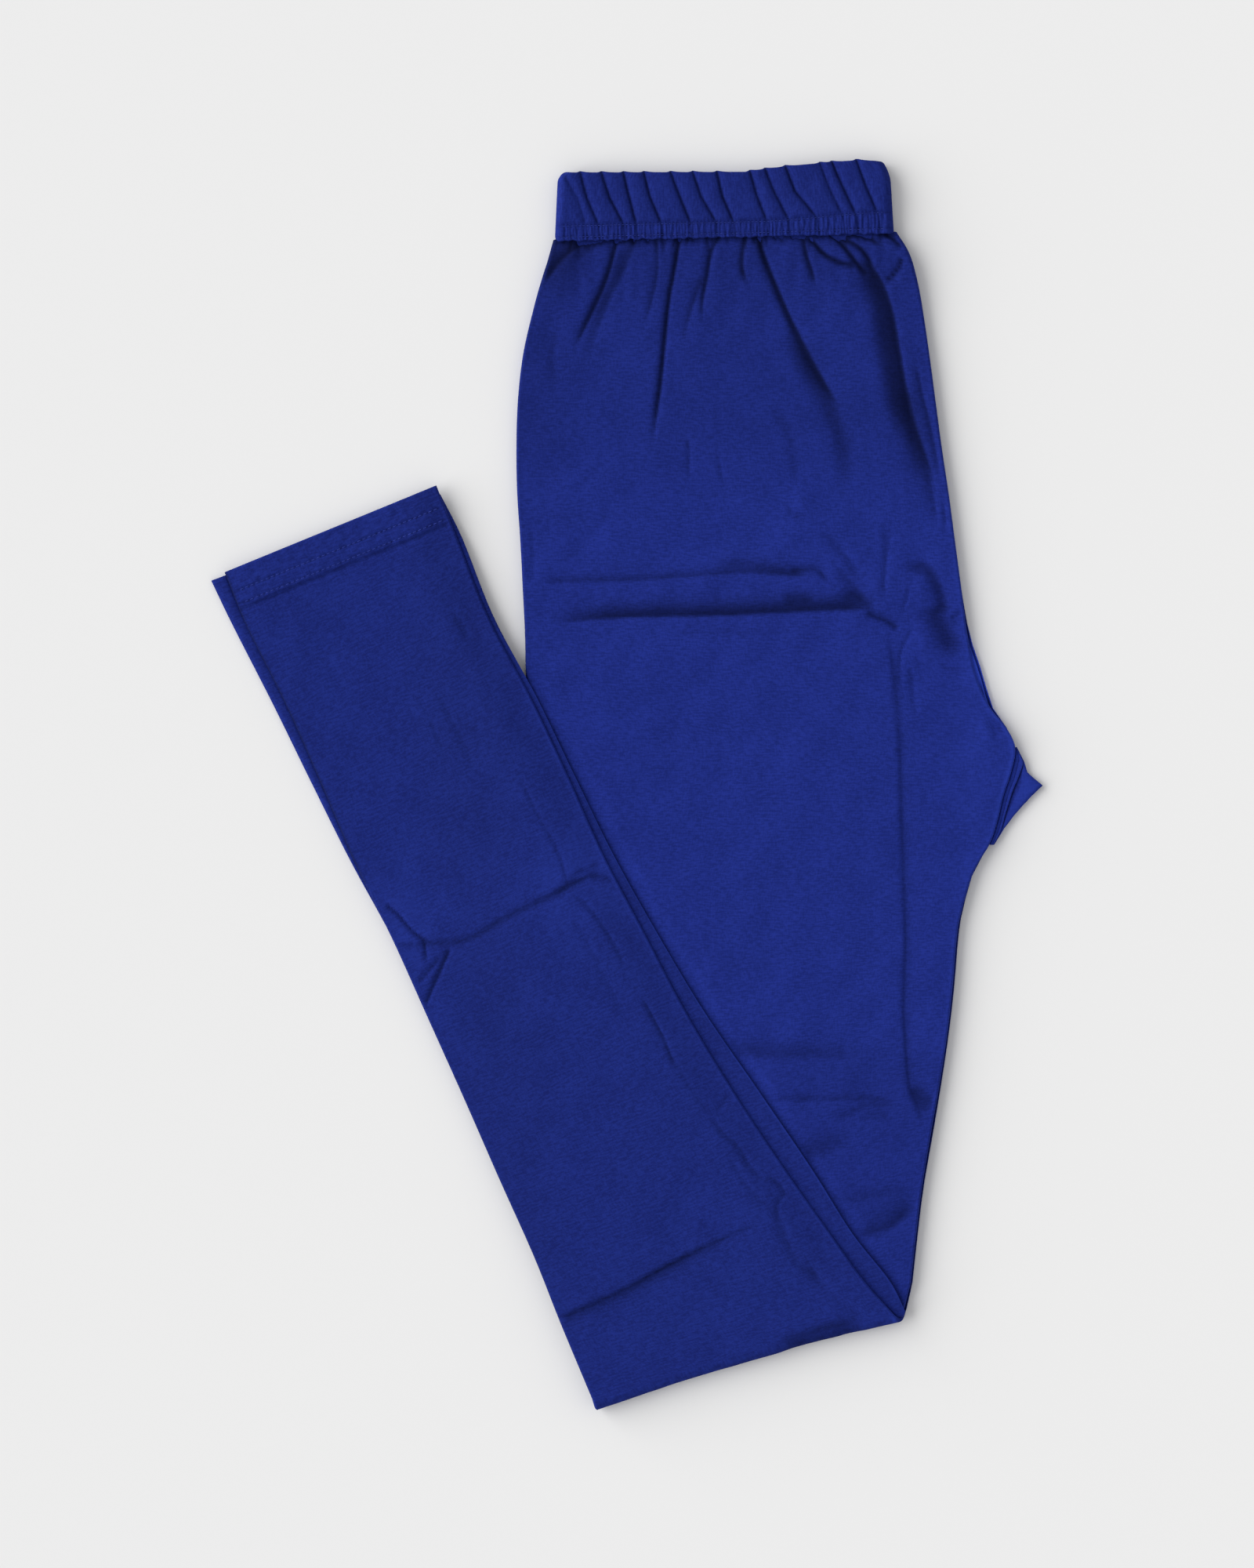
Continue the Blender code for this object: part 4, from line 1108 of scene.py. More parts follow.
@dataclass
class RightLeg:
    """The ply that lies underneath, turns up round the fold and shows as the top shin."""

    columns: int = 142
    under_spacing: float = 11.0
    spacing: Spacing = (
        (-300.0, 1.3), (-40.0, 1.3), (-30.0, 2.0), (86.0, 2.0), (96.0, 0.75), (140.0, 0.75),
    )
    fold_steps: int = 20
    roll: float = 1.8
    wall: float = 0.9
    squeeze: float = 0.6
    puff: float = 1.3
    steepness: float = 0.6
    run: float = 12.0
    hem_depth: float = 18.6
    hem_rise: float = 0.8
    hem_turn: float = 0.9
    hem_rows: tuple[float, float] = (10.4, 17.0)
    hem_start: float = 5.2
    hem_pitch: float = 2.8
    margin: float = 3.0
    deepest: float = 0.4
    # Painted shade where the shin slopes to the floor; then how much lighter a band across its middle is
    # drawn, and how wide.
    slope_shade: float = 0.6
    band_lightening: float = 0.07
    band_lightening_run: float = 26.0
    top_z: float = 3.0
    waves: tuple[Wave, ...] = (Wave(0.24, 62.0, 21), Wave(0.13, 26.0, 23), Wave(0.03, 9.0, 25))
    row_depth: float = 0.35
    row_pits: float = 0.55
    row_width: float = 0.6
    groove: float = 0.7
    groove_out: float = 1.3
    pucker: Wave = Wave(0.16, 6.0, 29)
    pucker_reach: float = 27.0
    pucker_run: float = 12.0
    edge_flat: float = 0.7
    # Painted shade along the shin's left edge, more where the under strip shows beside it.
    rim_shade: float = 0.9
    rim_more: float = 1.7

    def hem_places(self, x: Array, y: Array) -> tuple[Array, Array]:
        """Places of points by the ankle's hem.

        Args:
            x: Plan coordinate of the points.
            y: The other plan coordinate.

        Returns:
            How far each is from the ankle's edge, and from its left end along it.
        """
        last = SHIN[-1]
        along = np.array([last.right_x - last.left_x, last.right_y - last.left_y])
        along /= np.linalg.norm(along)
        x, y = x - last.left_x, y - last.left_y
        return x * along[1] - y * along[0], x * along[0] + y * along[1]

    def relief(self, x: Array, y: Array) -> tuple[Array, Array]:
        """Relief of the top shin's cloth, its hem included.

        Args:
            x: Plan coordinate of the points.
            y: The other plan coordinate.

        Returns:
            Its rise, and how deep its creases are.
        """
        soft = slack_of(self.waves, x, y)
        hem, run = self.hem_places(x, y)
        step = self.hem_rise * ramp(hem, self.hem_depth + 0.6, -1.0)
        turn = 2 * np.pi * (run - self.hem_start) / self.hem_pitch
        pits = self.row_depth + self.row_pits * (0.5 - 0.5 * np.cos(turn))
        rows = pits * sum(bell(hem, row, self.row_width) for row in self.hem_rows)
        below = self.groove * bell(hem - self.hem_depth, self.groove_out, 1.0)
        pucker = slack_of((self.pucker,), x, y) * ramp(hem, self.pucker_reach, -self.pucker_run)
        trough = pressed(SHIN_FOLDS, x, y) + rows + below
        return self.puff + soft + step + pucker - trough, trough

    def top(self, x: Array, y: Array) -> Array:
        """Height of the shin's face at each point away from its edges."""
        relief, trough = self.relief(x, y)
        return LAY.shin_top(x, y) + relief + (1 - self.steepness) * trough

    def build(self) -> Piece:
        """Lays the sheet out from the waistband, under the thighs, round the fold and up to the hem.

        Returns:
            The piece.
        """
        sheets = [self.under_side(), self.turn_up()]
        shin = lines_of("")
        at = places(shin, self.spacing)[1:]
        lines = spline(shin, at)
        sheets.append(self.shin_rows(lines, LAY.fold_bow * np.clip(1.0 - at, 0.0, 1.0)))
        sheets.append(self.hem_edge(sheets[-1], lines[-1]))
        x, y, z, offset, trough, middle = (np.vstack(parts) for parts in zip(*sheets))
        fallen = np.clip((LAY.thigh_left(y) - x) / LAY.drop_run, 0.0, 1.0)
        # Painted shade where the shin slopes to the floor, lighter in a band across its middle, painted light
        # along its right edge, and painted light on the lower plies past the legs' edge.
        slope = self.slope_shade * fallen * (1 - fallen)
        lighter_band = self.band_lightening * bell(y + 38.0 - 0.3 * x, 0.0, self.band_lightening_run)
        top = slope - lighter_band - PAINTED_EDGE_LIGHT * bell(x, LAY.top_right(y), EDGE_RUN)
        tone = np.where(z > self.top_z, top, -painted_light_past_legs(x, y))
        return Cloth("right_leg_cloth", np.dstack([x, y, z]), weave_of(offset, middle), trough, tone).build()

    def under_side(self) -> Rows:
        """Rows that lie on the surface, face down.

        Returns:
            x, y, z, distance from the leg's middle, crease depth and middle of each row.
        """
        thigh = np.array([[r.left_x, r.left_y, r.under_x, r.right_y] for r in THIGH])
        lines = spline(thigh, places(thigh, ((0.0, self.under_spacing),)))
        width, middle = widths(lines), middles(lines)
        roll = 0.5 * (LAY.thigh_top(middle[:, 1]) - LAY.gap)
        distance, depth, _ = ply_ring(width, roll, even(len(lines), self.columns), self.wall, self.squeeze)
        x, y = across(lines, distance, np.zeros(len(lines)))
        return x, y, depth, distance - 0.5 * width[:, None], 0 * x, middle

    def turn_up(self) -> Rows:
        """Rows round the fold at the knee.

        Returns:
            The rows, as under_side gives them.
        """
        left, right, outward = LAY.fold_axis()
        shin_end = np.array([SHIN[0].right_x, SHIN[0].right_y])
        share = np.linspace(0.0, 1.0, self.fold_steps + 1)
        ends = right + (shin_end - right) * share[:, None]
        lines = np.hstack([np.broadcast_to(left, ends.shape), ends])
        width = widths(lines)
        roll = np.full(len(lines), self.roll)
        distance, depth, face = ply_ring(width, roll, even(len(lines), self.columns), self.wall, self.squeeze)
        x, y = across(lines, distance, np.full(len(lines), LAY.fold_bow))
        angle = (-np.pi / 2 + np.pi * share)[:, None]
        edge = np.minimum(distance, width[:, None] - distance)
        relief, trough = self.relief(x, y)
        free = smoothstep(edge / self.run) * face
        lift = free * ramp(share[:, None], 0.2, 0.5)
        rise = face * (1 - depth / self.roll) * ramp(share[:, None], 0.45, 0.55) * self.puff
        radius = LAY.fold_radius - depth + lift * (relief - self.puff + (1 - self.steepness) * trough) + rise
        x, y = x + outward[0] * radius * np.cos(angle), y + outward[1] * radius * np.cos(angle)
        z = LAY.fold_radius + radius * np.sin(angle)
        middle = middles(lines) + outward * (5.0 * share[:, None])
        return x, y, z, distance - 0.5 * width[:, None], trough * lift, middle

    def shin_rows(self, lines: Array, bow: Array) -> Rows:
        """Rows of the top shin, as under_side gives them.

        Args:
            lines: Their cross lines.
            bow: How far each bows towards the waist.

        Returns:
            The rows.
        """
        width = widths(lines)
        roll = np.full(len(lines), self.roll)
        distance, depth, face = ply_ring(width, roll, even(len(lines), self.columns), self.wall, self.squeeze)
        x, y = across(lines, distance, bow)
        edge = np.minimum(distance, width[:, None] - distance)
        relief, trough = self.relief(x, y)
        lift, free = smoothstep(edge / self.run) * face, smoothstep(edge / self.margin) * face
        rise = face * (1 - depth / self.roll) * self.puff * (1 - self.edge_flat * LAY.edge_share(x, y))
        rise = rise + lift * (relief + trough - self.puff) - self.steepness * free * trough
        z = LAY.shin_top(x, y) - depth + np.maximum(rise, -self.deepest * face)
        # Painted shade along the left edge, on top of the creases' painted shade.
        rim = (self.rim_shade + self.rim_more * ramp(y, -60.0, 20.0)) * bell(distance, 0.0, 1.0)
        return x, y, z, distance - 0.5 * width[:, None], trough * free + face * rim, middles(lines)

    def hem_edge(self, rows: Rows, line: Array) -> Rows:
        """The folded edge of the ankle hem, rounded until its two sides meet.

        Args:
            rows: The top shin's rows.
            line: Cross line of the last one.

        Returns:
            Rows as under_side gives them.
        """
        x, y, z, offset, trough = (r[-1] for r in rows[:5])
        out = np.array([-(line[3] - line[1]), line[2] - line[0]])
        out /= np.linalg.norm(out)
        faces = self.columns + 15
        back = np.argsort(offset[faces:-1])
        outer = np.interp(offset, offset[:faces], z[:faces])
        inner = np.interp(offset, offset[faces:-1][back], z[faces:-1][back])
        centre = 0.5 * (outer + inner)
        angle = np.radians([22.0, 44.0, 64.0, 80.0, 88.0])[:, None]
        reach = self.hem_turn * np.sin(angle)
        shape = (len(reach), len(offset))
        return (
            x + out[0] * reach, y + out[1] * reach, centre + (z - centre) * np.cos(angle),
            np.broadcast_to(offset, shape), np.broadcast_to(trough, shape), middles(line[None]) + out * reach,
        )


@dataclass
class InnerLayers:
    """The hidden plies as one piece, grooved between the plies, with the left leg's shin at its edges."""

    columns: int = 44
    side_steps: int = 15
    spacing: Spacing = ((-300.0, 3.0), (80.0, 3.0), (100.0, 2.0))
    under_spacing: float = 9.0
    fold_steps: int = 14
    band_wall: float = 2.2
    band_half: float = 4.4
    inset: float = 3.0
    step_inset: float = 1.9
    strip_rise: float = 0.9
    bulge: float = 0.45
    end_steps: int = 9
    shins_z: float = 6.0
    band_lines: tuple[tuple[float, float, float, float], ...] = (
        (-30.0, 308.5, 127.0, 312.5),
        (-30.0, 292.0, 127.0, 296.0),
        (-30.0, 276.7, 127.0, 280.7),
    )

    def ring(self, width: Array, depth: Array, left: Array, right: Array) -> Rows:
        """Closed cross-sections: a stepped outer side, and edges that bulge once for each ply.

        Args:
            width: Width of each section.
            depth: Its thickness.
            left: How far the outermost ply is set back at the left.
            right: The same at the right.

        Returns:
            Distance from the left edge and depth under the outer side, one row for each section.
        """
        width, depth, left, right = (v[:, None] for v in (width, depth, left, right))
        rest = depth - LAY.ply
        t = np.linspace(0.0, 1.0, self.side_steps + 1)
        plies = np.maximum(np.round(rest / LAY.ply), 1.0)
        side = 0.12 + self.bulge * (1 - np.abs(np.sin(np.pi * plies * t)))
        side_depth = LAY.ply + rest * t
        none = np.zeros(width.shape)
        # The outermost ply's rim, rolled over: how far in from its edge, and how far down.
        out, fall = np.array([[0.0, 0.08, 0.3, 0.7]]), LAY.ply * np.array([[0.8, 0.4, 0.1, 0.0]])
        shelf, shelf_deep = self.shelf(left)
        far_shelf, far_deep = self.shelf(right)
        span = np.linspace(0.0, 1.0, self.columns + 1)
        over = left + 0.7 + (width - left - right - 1.4) * span[1:-1]
        under = 1.0 + (width - 2.0) * span[::-1]
        distance = np.hstack([
            side[:, ::-1], shelf, left + out, over, width - right - out[:, ::-1],
            (width - far_shelf)[:, ::-1], width - side, under, side[:, -1:],
        ])
        deep = np.hstack([
            side_depth[:, ::-1], shelf_deep, none + fall, none + 0 * over,
            none + fall[:, ::-1], far_deep[:, ::-1], side_depth, depth + 0 * under, side_depth[:, -1:],
        ])
        return distance, deep

    def shelf(self, set_back: Array) -> tuple[Array, Array]:
        """The strip of an under ply that shows past the ply on top of it.

        Args:
            set_back: How far the ply on top is set back from the edge, one row for each section.

        Returns:
            Distance from the edge and depth of its points.
        """
        strip = np.maximum(set_back - self.step_inset, 0.0)
        rise = self.strip_rise * smoothstep((strip - 1.0) / 3.0)
        hidden = set_back - strip
        inward = 0.6 + strip * np.array([[0.05, 0.16, 0.35, 0.6, 0.8, 0.93, 1.0]])
        distance = np.hstack([0.58 + 0.0 * strip, inward, strip + 0.6 * hidden])
        shares = np.array([[0.0, 0.5, 0.85, 1.0, 1.0, 0.95, 0.5, 0.0, 0.0]])
        return np.minimum(distance, set_back - 0.01), LAY.ply - rise * shares

    def build(self) -> Piece:
        """Lays the tube out from the waistband's mouth, through the thighs and the fold, to the hems.

        Returns:
            The piece.
        """
        sheets = [self.in_band(), self.in_thighs(), self.in_fold(), self.in_shins()]
        x, y, z, distance = self.shut([np.vstack(parts) for parts in zip(*sheets)])
        # The column at the middle of the outer side: past the left side, its shelf and its rim.
        middle = self.side_steps + 13 + self.columns // 2
        weave = weave_of(distance, np.column_stack([x[:, middle], y[:, middle]]))
        # Painted light on the under strip along the shin's right edge, and on the lower ply past the legs'
        # edge.
        edge = PAINTED_EDGE_LIGHT * bell(x, LAY.shin_right(y), EDGE_RUN) * (z > self.shins_z)
        tone = -painted_light_past_legs(x, y) - edge
        return Cloth("inner_layers_cloth", np.dstack([x, y, z]), weave, tone=tone).build()

    def in_band(self) -> Rows:
        """Rows inside the waistband.

        Returns:
            x, y, z and distance from the left edge.
        """
        lines = spline(np.array(self.band_lines), np.linspace(0.0, 2.0, 6))
        low = np.full(len(lines), self.band_wall + LAY.gap)
        return self.flat_rows(lines, low, 2 * (self.band_half - low))

    def in_thighs(self) -> Rows:
        """Rows between the thighs, as in_band gives them.

        Returns:
            The rows, which reach out past the legs' right edge where the lower ply does.
        """
        table = np.array([line[:4] for line in THIGH])[1:]
        lines = spline(table, places(table, ((0.0, self.under_spacing),)))
        along = (lines[:, 2:] - lines[:, :2]) / widths(lines)[:, None]
        lines = np.hstack([lines[:, :2] + along * self.inset, lines[:, 2:] - along * self.inset])
        peek = np.interp(-lines[:, 3], [-r.right_y for r in THIGH], [r.under_x - r.right_x for r in THIGH])
        lines[:, 2] += np.minimum(1.8 * peek, peek + 1.8)
        depth = LAY.thigh_top(middles(lines)[:, 1]) - 2 * (LAY.ply + LAY.gap)
        return self.flat_rows(lines, np.full(len(lines), LAY.ply + LAY.gap), depth)

    def flat_rows(self, lines: Array, low: Array, depth: Array) -> Rows:
        """Rows that lie flat, their outer side down.

        Args:
            lines: Their cross lines.
            low: Height of the lower side of each.
            depth: Thickness of each.

        Returns:
            x, y, z and distance from the left edge.
        """
        back = np.ones(len(lines))
        distance, deep = self.ring(widths(lines), depth, back, back)
        x, y = across(lines, distance, np.zeros(len(lines)))
        return x, y, low[:, None] + deep, distance

    def in_fold(self) -> Rows:
        """Rows that turn round the fold at the knee.

        Returns:
            The rows, as in_band gives them.
        """
        left, right, outward = LAY.fold_axis()
        unit = (right - left) / np.linalg.norm(right - left)
        share = np.linspace(0.0, 1.0, self.fold_steps + 1)[:, None]
        start = left + unit * self.inset * (1 - share)
        under_end = np.array([SHIN[0].under_right_x, SHIN[0].under_right_y])
        top_end = np.array([SHIN[0].right_x, SHIN[0].right_y])
        first = right - unit * self.inset
        end = first + (under_end - first) * share
        set_back = np.linalg.norm(under_end - top_end) + self.step_inset
        s = share[:, 0]
        back = 1 + s * (self.step_inset - 1), 1 + s * (set_back - 1)
        lines = np.hstack([start, end])
        distance, deep = self.ring(widths(lines), (2 + s) * LAY.ply, *back)
        x, y = across(lines, distance, np.full(len(s), LAY.fold_bow))
        radius = LAY.fold_radius - LAY.ply - LAY.gap - deep
        angle = -np.pi / 2 + np.pi * share
        out = radius * np.cos(angle)
        return x + outward[0] * out, y + outward[1] * out, LAY.fold_radius + radius * np.sin(angle), distance

    def in_shins(self) -> Rows:
        """Rows of the shins.

        Returns:
            The rows, as in_band gives them.
        """
        top, under = lines_of(""), lines_of("under_")
        at = places(under, self.spacing)[1:]
        top, lines = spline(top, at), spline(under, at)
        set_left = np.hypot(*(top[:, :2] - lines[:, :2]).T) + self.step_inset
        set_right = np.hypot(*(top[:, 2:] - lines[:, 2:]).T) + self.step_inset
        distance, deep = self.ring(widths(lines), np.full(len(at), 3 * LAY.ply), set_left, set_right)
        x, y = across(lines, distance, LAY.fold_bow * np.clip(1.0 - at, 0.0, 1.0))
        low = LAY.shin_base(x, y) - LAY.gap - 4 * LAY.ply
        high = LAY.shin_top(x, y) - LAY.ply - LAY.gap
        return x, y, high - deep * (high - low) / (3 * LAY.ply), distance

    def shut(self, grids: list[Array]) -> list[Array]:
        """Rounds both ends over, one bulge for each ply, until the two sides meet.

        Args:
            grids: x, y, z and distance from the left edge, of all rows.

        Returns:
            The same with the end rows added.
        """
        # Columns across the flat of the outer side, clear of both rims.
        flat = slice(self.side_steps + 16, self.side_steps + self.columns + 6)
        for end, before, plies in ((0, 1, 2.0), (-1, -2, 3.0)):
            ex, ey, ez, ed = (g[end] for g in grids)
            out = np.array([(ex - grids[0][before])[flat].mean(), (ey - grids[1][before])[flat].mean()])
            out /= np.linalg.norm(out)
            low, high = self.beside(ed, ez, np.min), self.beside(ed, ez, np.max)
            t = 0.5 * np.arange(1, self.end_steps + 1)[:, None] / self.end_steps
            reach = self.bulge * np.abs(np.sin(np.pi * plies * t))
            new = [
                ex + out[0] * reach, ey + out[1] * reach,
                np.clip(ez, low + t * (high - low), high - t * (high - low)), ed + 0 * reach,
            ]
            if end == 0:
                grids = [np.vstack([n[::-1], g]) for n, g in zip(new, grids)]
            else:
                grids = [np.vstack([g, n]) for n, g in zip(new, grids)]
        return grids

    @staticmethod
    def beside(place: Array, z: Array, pick: Callable) -> Array:
        """Lowest or highest point of a section within a few millimetres of each of its points."""
        return np.array([pick(z[np.abs(place - p) < 4.0]) for p in place])


@dataclass
class Waistband:
    """The casing over the elastic, folded over at its upper edge.

    It is an open ring: it lies on top, turns round the right end and comes back underneath.
    """

    wall: float = 2.2
    half: float = 4.4
    gap: float = 0.4
    left_slant: float = 1.6
    right_slant: float = 2.2
    left_round: float = 2.6
    right_round: float = 3.4
    pleat_width: float = 0.8
    puff: float = 0.9
    crown: float = 0.35
    row_width: float = 0.6
    row_pitch: float = 2.0
    peak: float = 0.9
    peak_left: float = 1.0
    peak_right: float = 2.6
    panel_rise: float = 0.5
    panel_run: float = 4.5
    panel_wave: Wave = Wave(0.10, 14.0, 41)
    pucker: float = 0.16
    pucker_drift: Wave = Wave(2.6, 17.0, 47)
    fine_wave: Wave = Wave(0.16, 1.9, 49)
    sag: Wave = Wave(0.30, 5.0, 53)
    face_height: float = 36.0
    pucker_pitch: float = 2.7
    # Painted shade added in the pleat lines.
    pleat_shade: float = 0.4
    stations: int = 560
    under_stations: int = 50
    face_rows: int = 44
    seam_low: float = 2.0
    seam_high: float = 7.6
    seam_climb: float = 3.2
    lower: tuple[tuple[float, float], ...] = ((-36.8, 276.0), (136.0, 280.0))
    upper: tuple[tuple[float, float], ...] = (
        (-35.2, 311.2), (60.0, 311.6), (80.0, 314.4), (104.0, 316.6), (118.0, 317.6), (134.0, 316.8),
    )

    def low_y(self, x: Array) -> Array:
        """y of the lower edge at each x."""
        return np.interp(x, *np.array(self.lower).T)

    def high_y(self, x: Array) -> Array:
        """y of the upper edge at each x, before the pleats lift it."""
        return np.interp(x, *np.array(self.upper).T)

    def seams(self, x: Array) -> tuple[Array, Array]:
        """Height of the two rows of stitches over the lower edge, at each x."""
        climb = ramp(x, 66.0, 66.0)
        return self.seam_low + 0.6 * climb, self.seam_high + self.seam_climb * climb

    @staticmethod
    def aside(pleat: Pleat, x: Array, share: Array) -> Array:
        """How far points are from a pleat line.

        Args:
            pleat: The pleat.
            x: Place of the points across the band.
            share: Their share of the band's height.

        Returns:
            The distance across.
        """
        knots = [pleat.low_x + 0.8, pleat.low_x, pleat.middle_x, pleat.top_x]
        return np.abs(x - np.interp(share, [0.0, 0.22, 0.62, 1.0], knots))

    def pleating(self, x: Array, share: Array) -> tuple[Array, Array]:
        """The pleat lines and the cloth between them.

        Args:
            x: Place of the points across the band.
            share: Their share of the band's height.

        Returns:
            Depth of the lines, and rise of the cloth's soft crown between two of them.
        """
        shape = np.broadcast(x, share).shape
        total, away = np.zeros(shape), np.full(shape, 9.0)
        for pleat in PLEATS:
            aside = self.aside(pleat, x, share)
            total = np.maximum(total, pleat.depth * np.exp(-((aside / self.pleat_width) ** 1.3)))
            away = np.minimum(away, aside)
        soft = slack_of((self.panel_wave,), x, 30 * share)
        return total, self.panel_rise * smoothstep(away / self.panel_run) + soft

    def ruffles(self, x: Array, height: Array) -> tuple[Array, Array]:
        """The lower part of the band, by its two rows of stitches.

        Args:
            x: Place of the points across the band.
            height: Their height over its lower edge.

        Returns:
            Rise of the fine uneven puckers between the rows, and depth of the rows' own troughs.
        """
        low, high = self.seams(x)
        between = ramp(height, -0.4, 1.4) * smoothstep((high + 0.5 - height) / 1.4)
        phase = 2 * np.pi * x / self.pucker_pitch + slack_of((self.pucker_drift,), x, 0 * x)
        wave = self.pucker * np.sin(phase) + slack_of((self.fine_wave,), x, 0.15 * height)
        pits = 0.55 + 0.45 * np.cos(2 * np.pi * x / self.row_pitch)
        rows = sum(bell(height, row, self.row_width) for row in (low, high)) * (0.35 + 0.5 * pits)
        return wave * between, rows

    def face(self, x: Array, height: Array, total: Array) -> tuple[Array, Array]:
        """Relief of the top ply's face.

        Args:
            x: Place of the points across the band.
            height: Their height over its lower edge.
            total: The band's height there.

        Returns:
            Rise over the ply's base, and the painted shade of its lines and stitch rows.
        """
        share = height / total
        body = smoothstep((height - self.seams(x)[1] - 0.4) / 2.0)
        pleats, panels = self.pleating(x, share)
        lines = pleats * (0.45 + 0.55 * body)
        waves, rows = self.ruffles(x, height)
        rise = self.crown + body * (self.puff - self.crown + panels) + waves
        trough = lines + rows
        # The second value is painted shade: the depth of the lines and rows, more in the pleat lines.
        return rise - trough, trough + self.pleat_shade * lines

    def top(self, x: Array, y: Array) -> Array:
        """Height of the top ply's face at each point."""
        low, high = self.low_y(x), self.high_y(x)
        return 2 * self.half + self.face(x, y - low, high - low)[0]

    def plan(self) -> Array:
        """The open ring's stations.

        Returns:
            For each: place across, end (1 left, -1 right, 0 between), inset, height, and way out in x and z.
        """
        roll = self.half - 0.5 * self.gap
        rows: list[tuple[float, ...]] = []

        def turn(place: float, end: float, radius: float, middle: float, degrees: Array) -> None:
            """Adds the stations round one end.

            Args:
                place: Place across.
                end: 1 for the left end, -1 for the right one.
                radius: Radius of the turn.
                middle: Height of its axis.
                degrees: Each station's angle over the axis.
            """
            for a in np.radians(degrees):
                out_x, out_z = -end * np.cos(a), np.sin(a)
                rows.append((place, end, radius * (1 - np.cos(a)), middle + radius * out_z, out_x, out_z))

        turn(0, 1, roll, 2 * self.half - roll, np.linspace(0.0, 80.0, 9))
        rows.extend((s, 0, 0, 2 * self.half, 0, 1) for s in np.linspace(0.0, 1.0, self.stations))
        turn(1, -1, self.half, self.half, np.linspace(80.0, -80.0, 17))
        rows.extend((s, 0, 0, 0, 0, -1) for s in np.linspace(1.0, 0.0, self.under_stations))
        turn(0, 1, roll, roll, np.linspace(-80.0, 0.0, 9))
        return np.array(rows, float)

    def ends(self, share: Array) -> tuple[Array, Array]:
        """x of the band's left and right end.

        Args:
            share: Share of the band's height.

        Returns:
            The left end's and the right end's.
        """
        left = self.lower[0][0] + self.left_slant * share
        left = left + self.left_round * np.clip(share / 0.14 - 6.14, 0, 1) ** 2
        left = left + 1.0 * np.clip(1 - share / 0.1, 0, 1) ** 2
        right = self.lower[1][0] - self.right_slant * share
        return left, right - self.right_round * np.clip(share / 0.3 - 2.33, 0, 1) ** 2

    def build(self) -> Piece:
        """Lays the casing out along its open ring, one closed section at each station.

        Returns:
            The piece.
        """
        roll = self.half - 0.5 * self.gap
        place, end, inset, height, out_x, out_z = (v[:, None] for v in self.plan().T)
        share, depth = self.section()
        left, right = self.ends(share)
        span = left + roll + (right - self.half - left - roll) * place
        x = np.where(end > 0, left + inset, np.where(end < 0, right - inset, span))
        on_top = ramp(out_z, 0.3, 0.7)
        low, high = self.low_y(x), self.high_y(x)
        total = high - low
        outside = on_top * (depth < 0.5)
        rise, trough = self.face(x, share * total, total)
        rise = rise * outside
        # The upper edge stands up at each pleat: steeply at its left and slowly at its right.
        peaks = 0.0
        for pleat in PLEATS:
            slow = np.where(x > pleat.top_x, self.peak_right, self.peak_left)
            peaks = peaks + self.peak * np.exp(-((np.abs(x - pleat.top_x) / slow) ** 1.2))
        lift = (peaks - 0.35) * ramp(share, 0.6, 0.4)
        sag = slack_of((self.sag,), x, 0 * x) * ramp(share, 0.16, -0.16)
        y = low + total * share + (lift + sag) * (0.25 + 0.75 * on_top)
        drop = depth * self.wall
        x = x - out_x * drop
        z = height - out_z * drop + rise * out_z
        run = distances(np.column_stack([x[:, 8], z[:, 8]]))
        girth = np.where(depth < 0.5, share * self.face_height, 80.0 - share * self.face_height)
        weave = np.dstack([np.broadcast_to(girth, x.shape), np.broadcast_to(run[:, None], x.shape)])
        # The lines' painted shade, on the outer face only.
        return Cloth("waistband_cloth", np.dstack([x, y, z]), weave, trough * outside).build()

    def section(self) -> tuple[Array, Array]:
        """The casing's closed cross-section.

        Returns:
            Share of the band's height and share of its wall, one column for each point.
        """
        lip = 0.03
        up = lip + (1 - 2 * lip) * np.linspace(0.0, 1.0, self.face_rows)
        back = up[::-4]
        over = np.radians(np.linspace(15.0, 165.0, 8))
        top, low = 1 - lip + lip * np.sin(over), [0.008, 0.0, 0.0, 0.008]
        share = np.concatenate([low[:1], up, top, back, low])
        inside = [0.92, 0.7, 0.3, 0.08]
        depth = np.concatenate([inside[-1:], 0 * up, 0.5 - 0.5 * np.cos(over), 0 * back + 1, inside])
        return share[None, :], depth[None, :]


